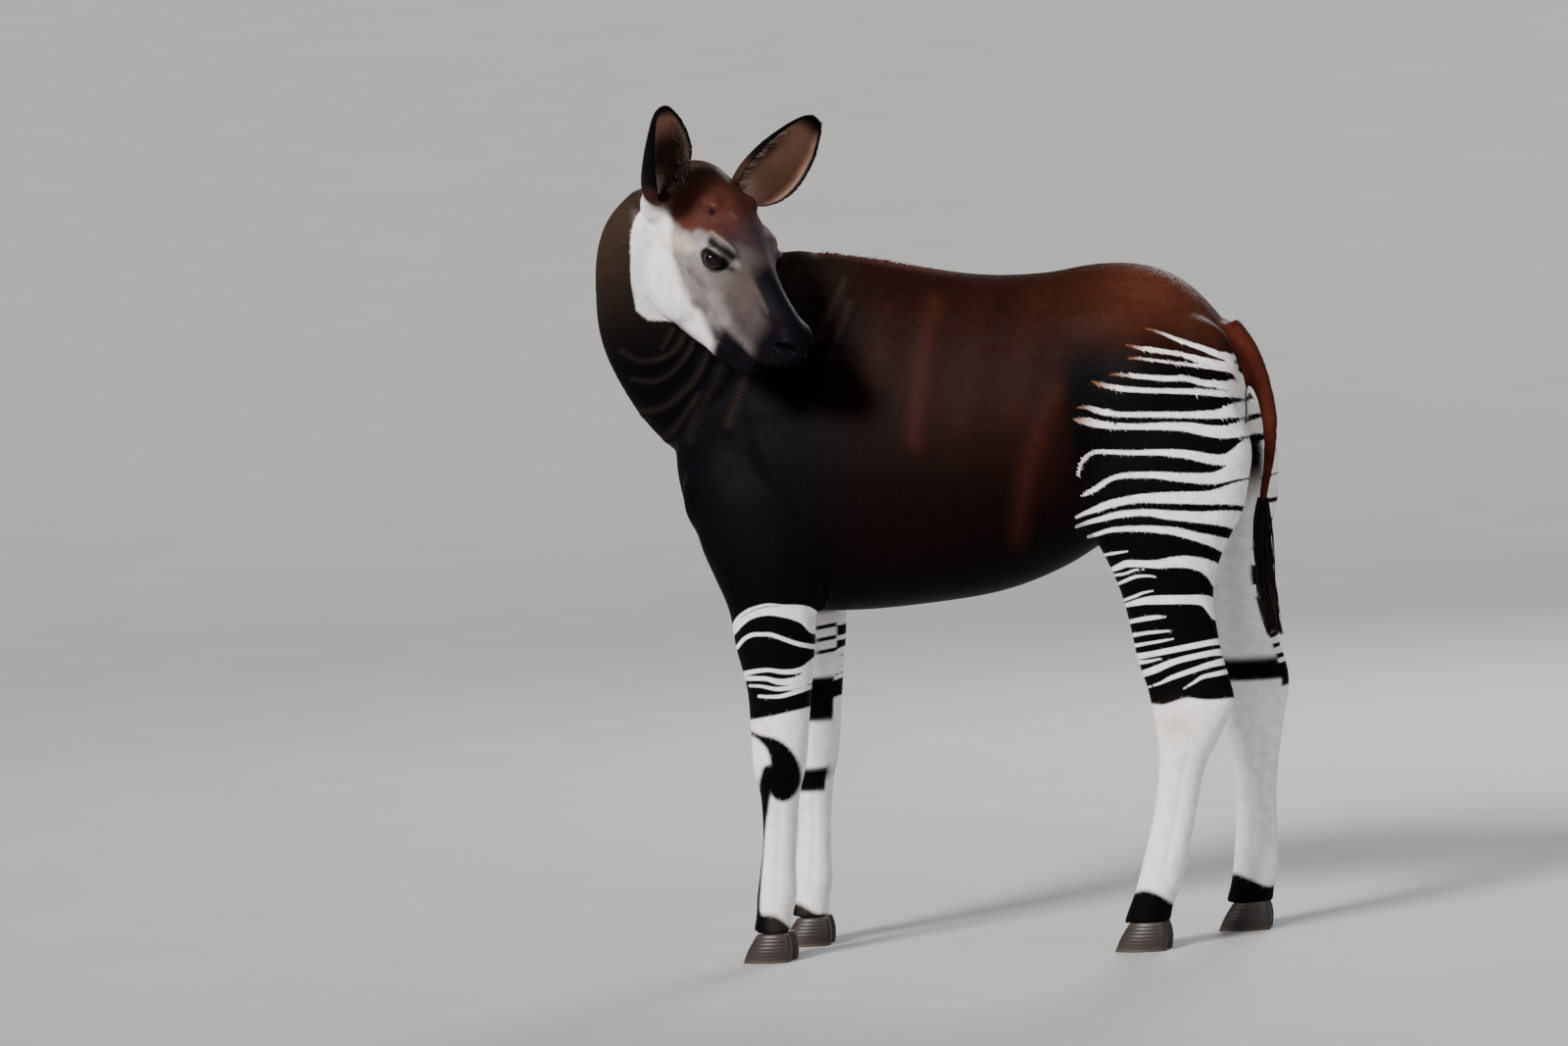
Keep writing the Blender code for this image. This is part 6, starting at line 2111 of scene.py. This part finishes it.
# Short sleek hair: nine clumps in 10 mm, about 1 mm wide and ten times as long along the lie of the coat,
# over patches where it lies a little lighter or darker. Real hairs are finer, too fine to show.
fur = coloured_material(
    "short_hair", 0.52, 9, (1, 0.1, 1), 0.20, 0.0006, shine=0.03, along_hair=True, patchy=0.13)
# Long coarse hair of mane, tuft and lashes: smoother and a little glossier than the coat
long_hair = coloured_material("long_hair", 0.42, 6, (1, 0.05, 1), 0.18, 0.0, shine=0.10, along_hair=True)
# Bare skin of lids: dark, finely grained and damp
bare = coloured_material("bare_skin", 0.42, 9, (1, 1, 1), 0.12, 0.0002, shine=0.12)
# Wet eye: a clear glossy layer over a dark iris
wet_eye = coloured_material("wet_eye", 0.10, 4, (1, 1, 1), 0.10, 0.0, gloss=0.10, shine=0.18)
# Hoof horn: growth rings run round, so the streaks are long across and short in height
horn = coloured_material("hoof_horn", 0.42, 5, (0.2, 0.2, 1), 0.16, 0.0003)

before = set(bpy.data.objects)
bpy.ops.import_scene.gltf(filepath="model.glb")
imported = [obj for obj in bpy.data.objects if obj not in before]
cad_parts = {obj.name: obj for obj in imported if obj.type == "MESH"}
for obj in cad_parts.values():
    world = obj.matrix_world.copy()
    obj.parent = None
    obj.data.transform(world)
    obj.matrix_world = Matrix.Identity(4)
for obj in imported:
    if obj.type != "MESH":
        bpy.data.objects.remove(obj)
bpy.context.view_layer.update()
EYE_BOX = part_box("eye_left")
# From the body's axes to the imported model's
OFFSET = np.array((EYE_BOX[0] + EYE_BOX[1]) / 2) - from_head(EYE)

# Skin and coat
points, normals, triangles = modelled_skin()
fields = place_fields(points, normals)
colours = coat_colour(points, normals, fields)
roots = spread_roots(points, normals, fields, triangles, np.random.default_rng(5))
points, normals, triangles, colours = sharpened(points, normals, triangles, colours, 2)
skin = object_of("skin", points, triangles)
set_colours(skin, colours)
set_grain(skin, place_fields(points, normals)["grain"])
carried(skin, fur, FLESH_NODES)
draw = np.random.default_rng(11)
lay_coat(*roots, draw)

# Eyes, long hair and hooves
eyeballs()
lids()
lashes(draw)
ear_fringe(draw)
whiskers(draw, points, normals)
tail_tuft(draw)
withers_mane(draw)
hooves()

# Studio
camera()
light("key", "SUN", (-2.5, -5.0, 4.5), 0.28, 5.6, (1.0, 0.97, 0.94))
light("fill", "AREA", (5.0, -4.0, 2.5), 3.0, 90, (0.90, 0.95, 1.0))
light("rim", "AREA", (1.0, 5.0, 4.0), 2.0, 240, (0.95, 0.97, 1.0))
world = bpy.data.worlds.new("studio")
world.use_nodes = True
world.node_tree.nodes["Background"].inputs["Color"].default_value = (0.85, 0.88, 0.92, 1)
world.node_tree.nodes["Background"].inputs["Strength"].default_value = 0.26
bpy.context.scene.world = world
studio_floor()
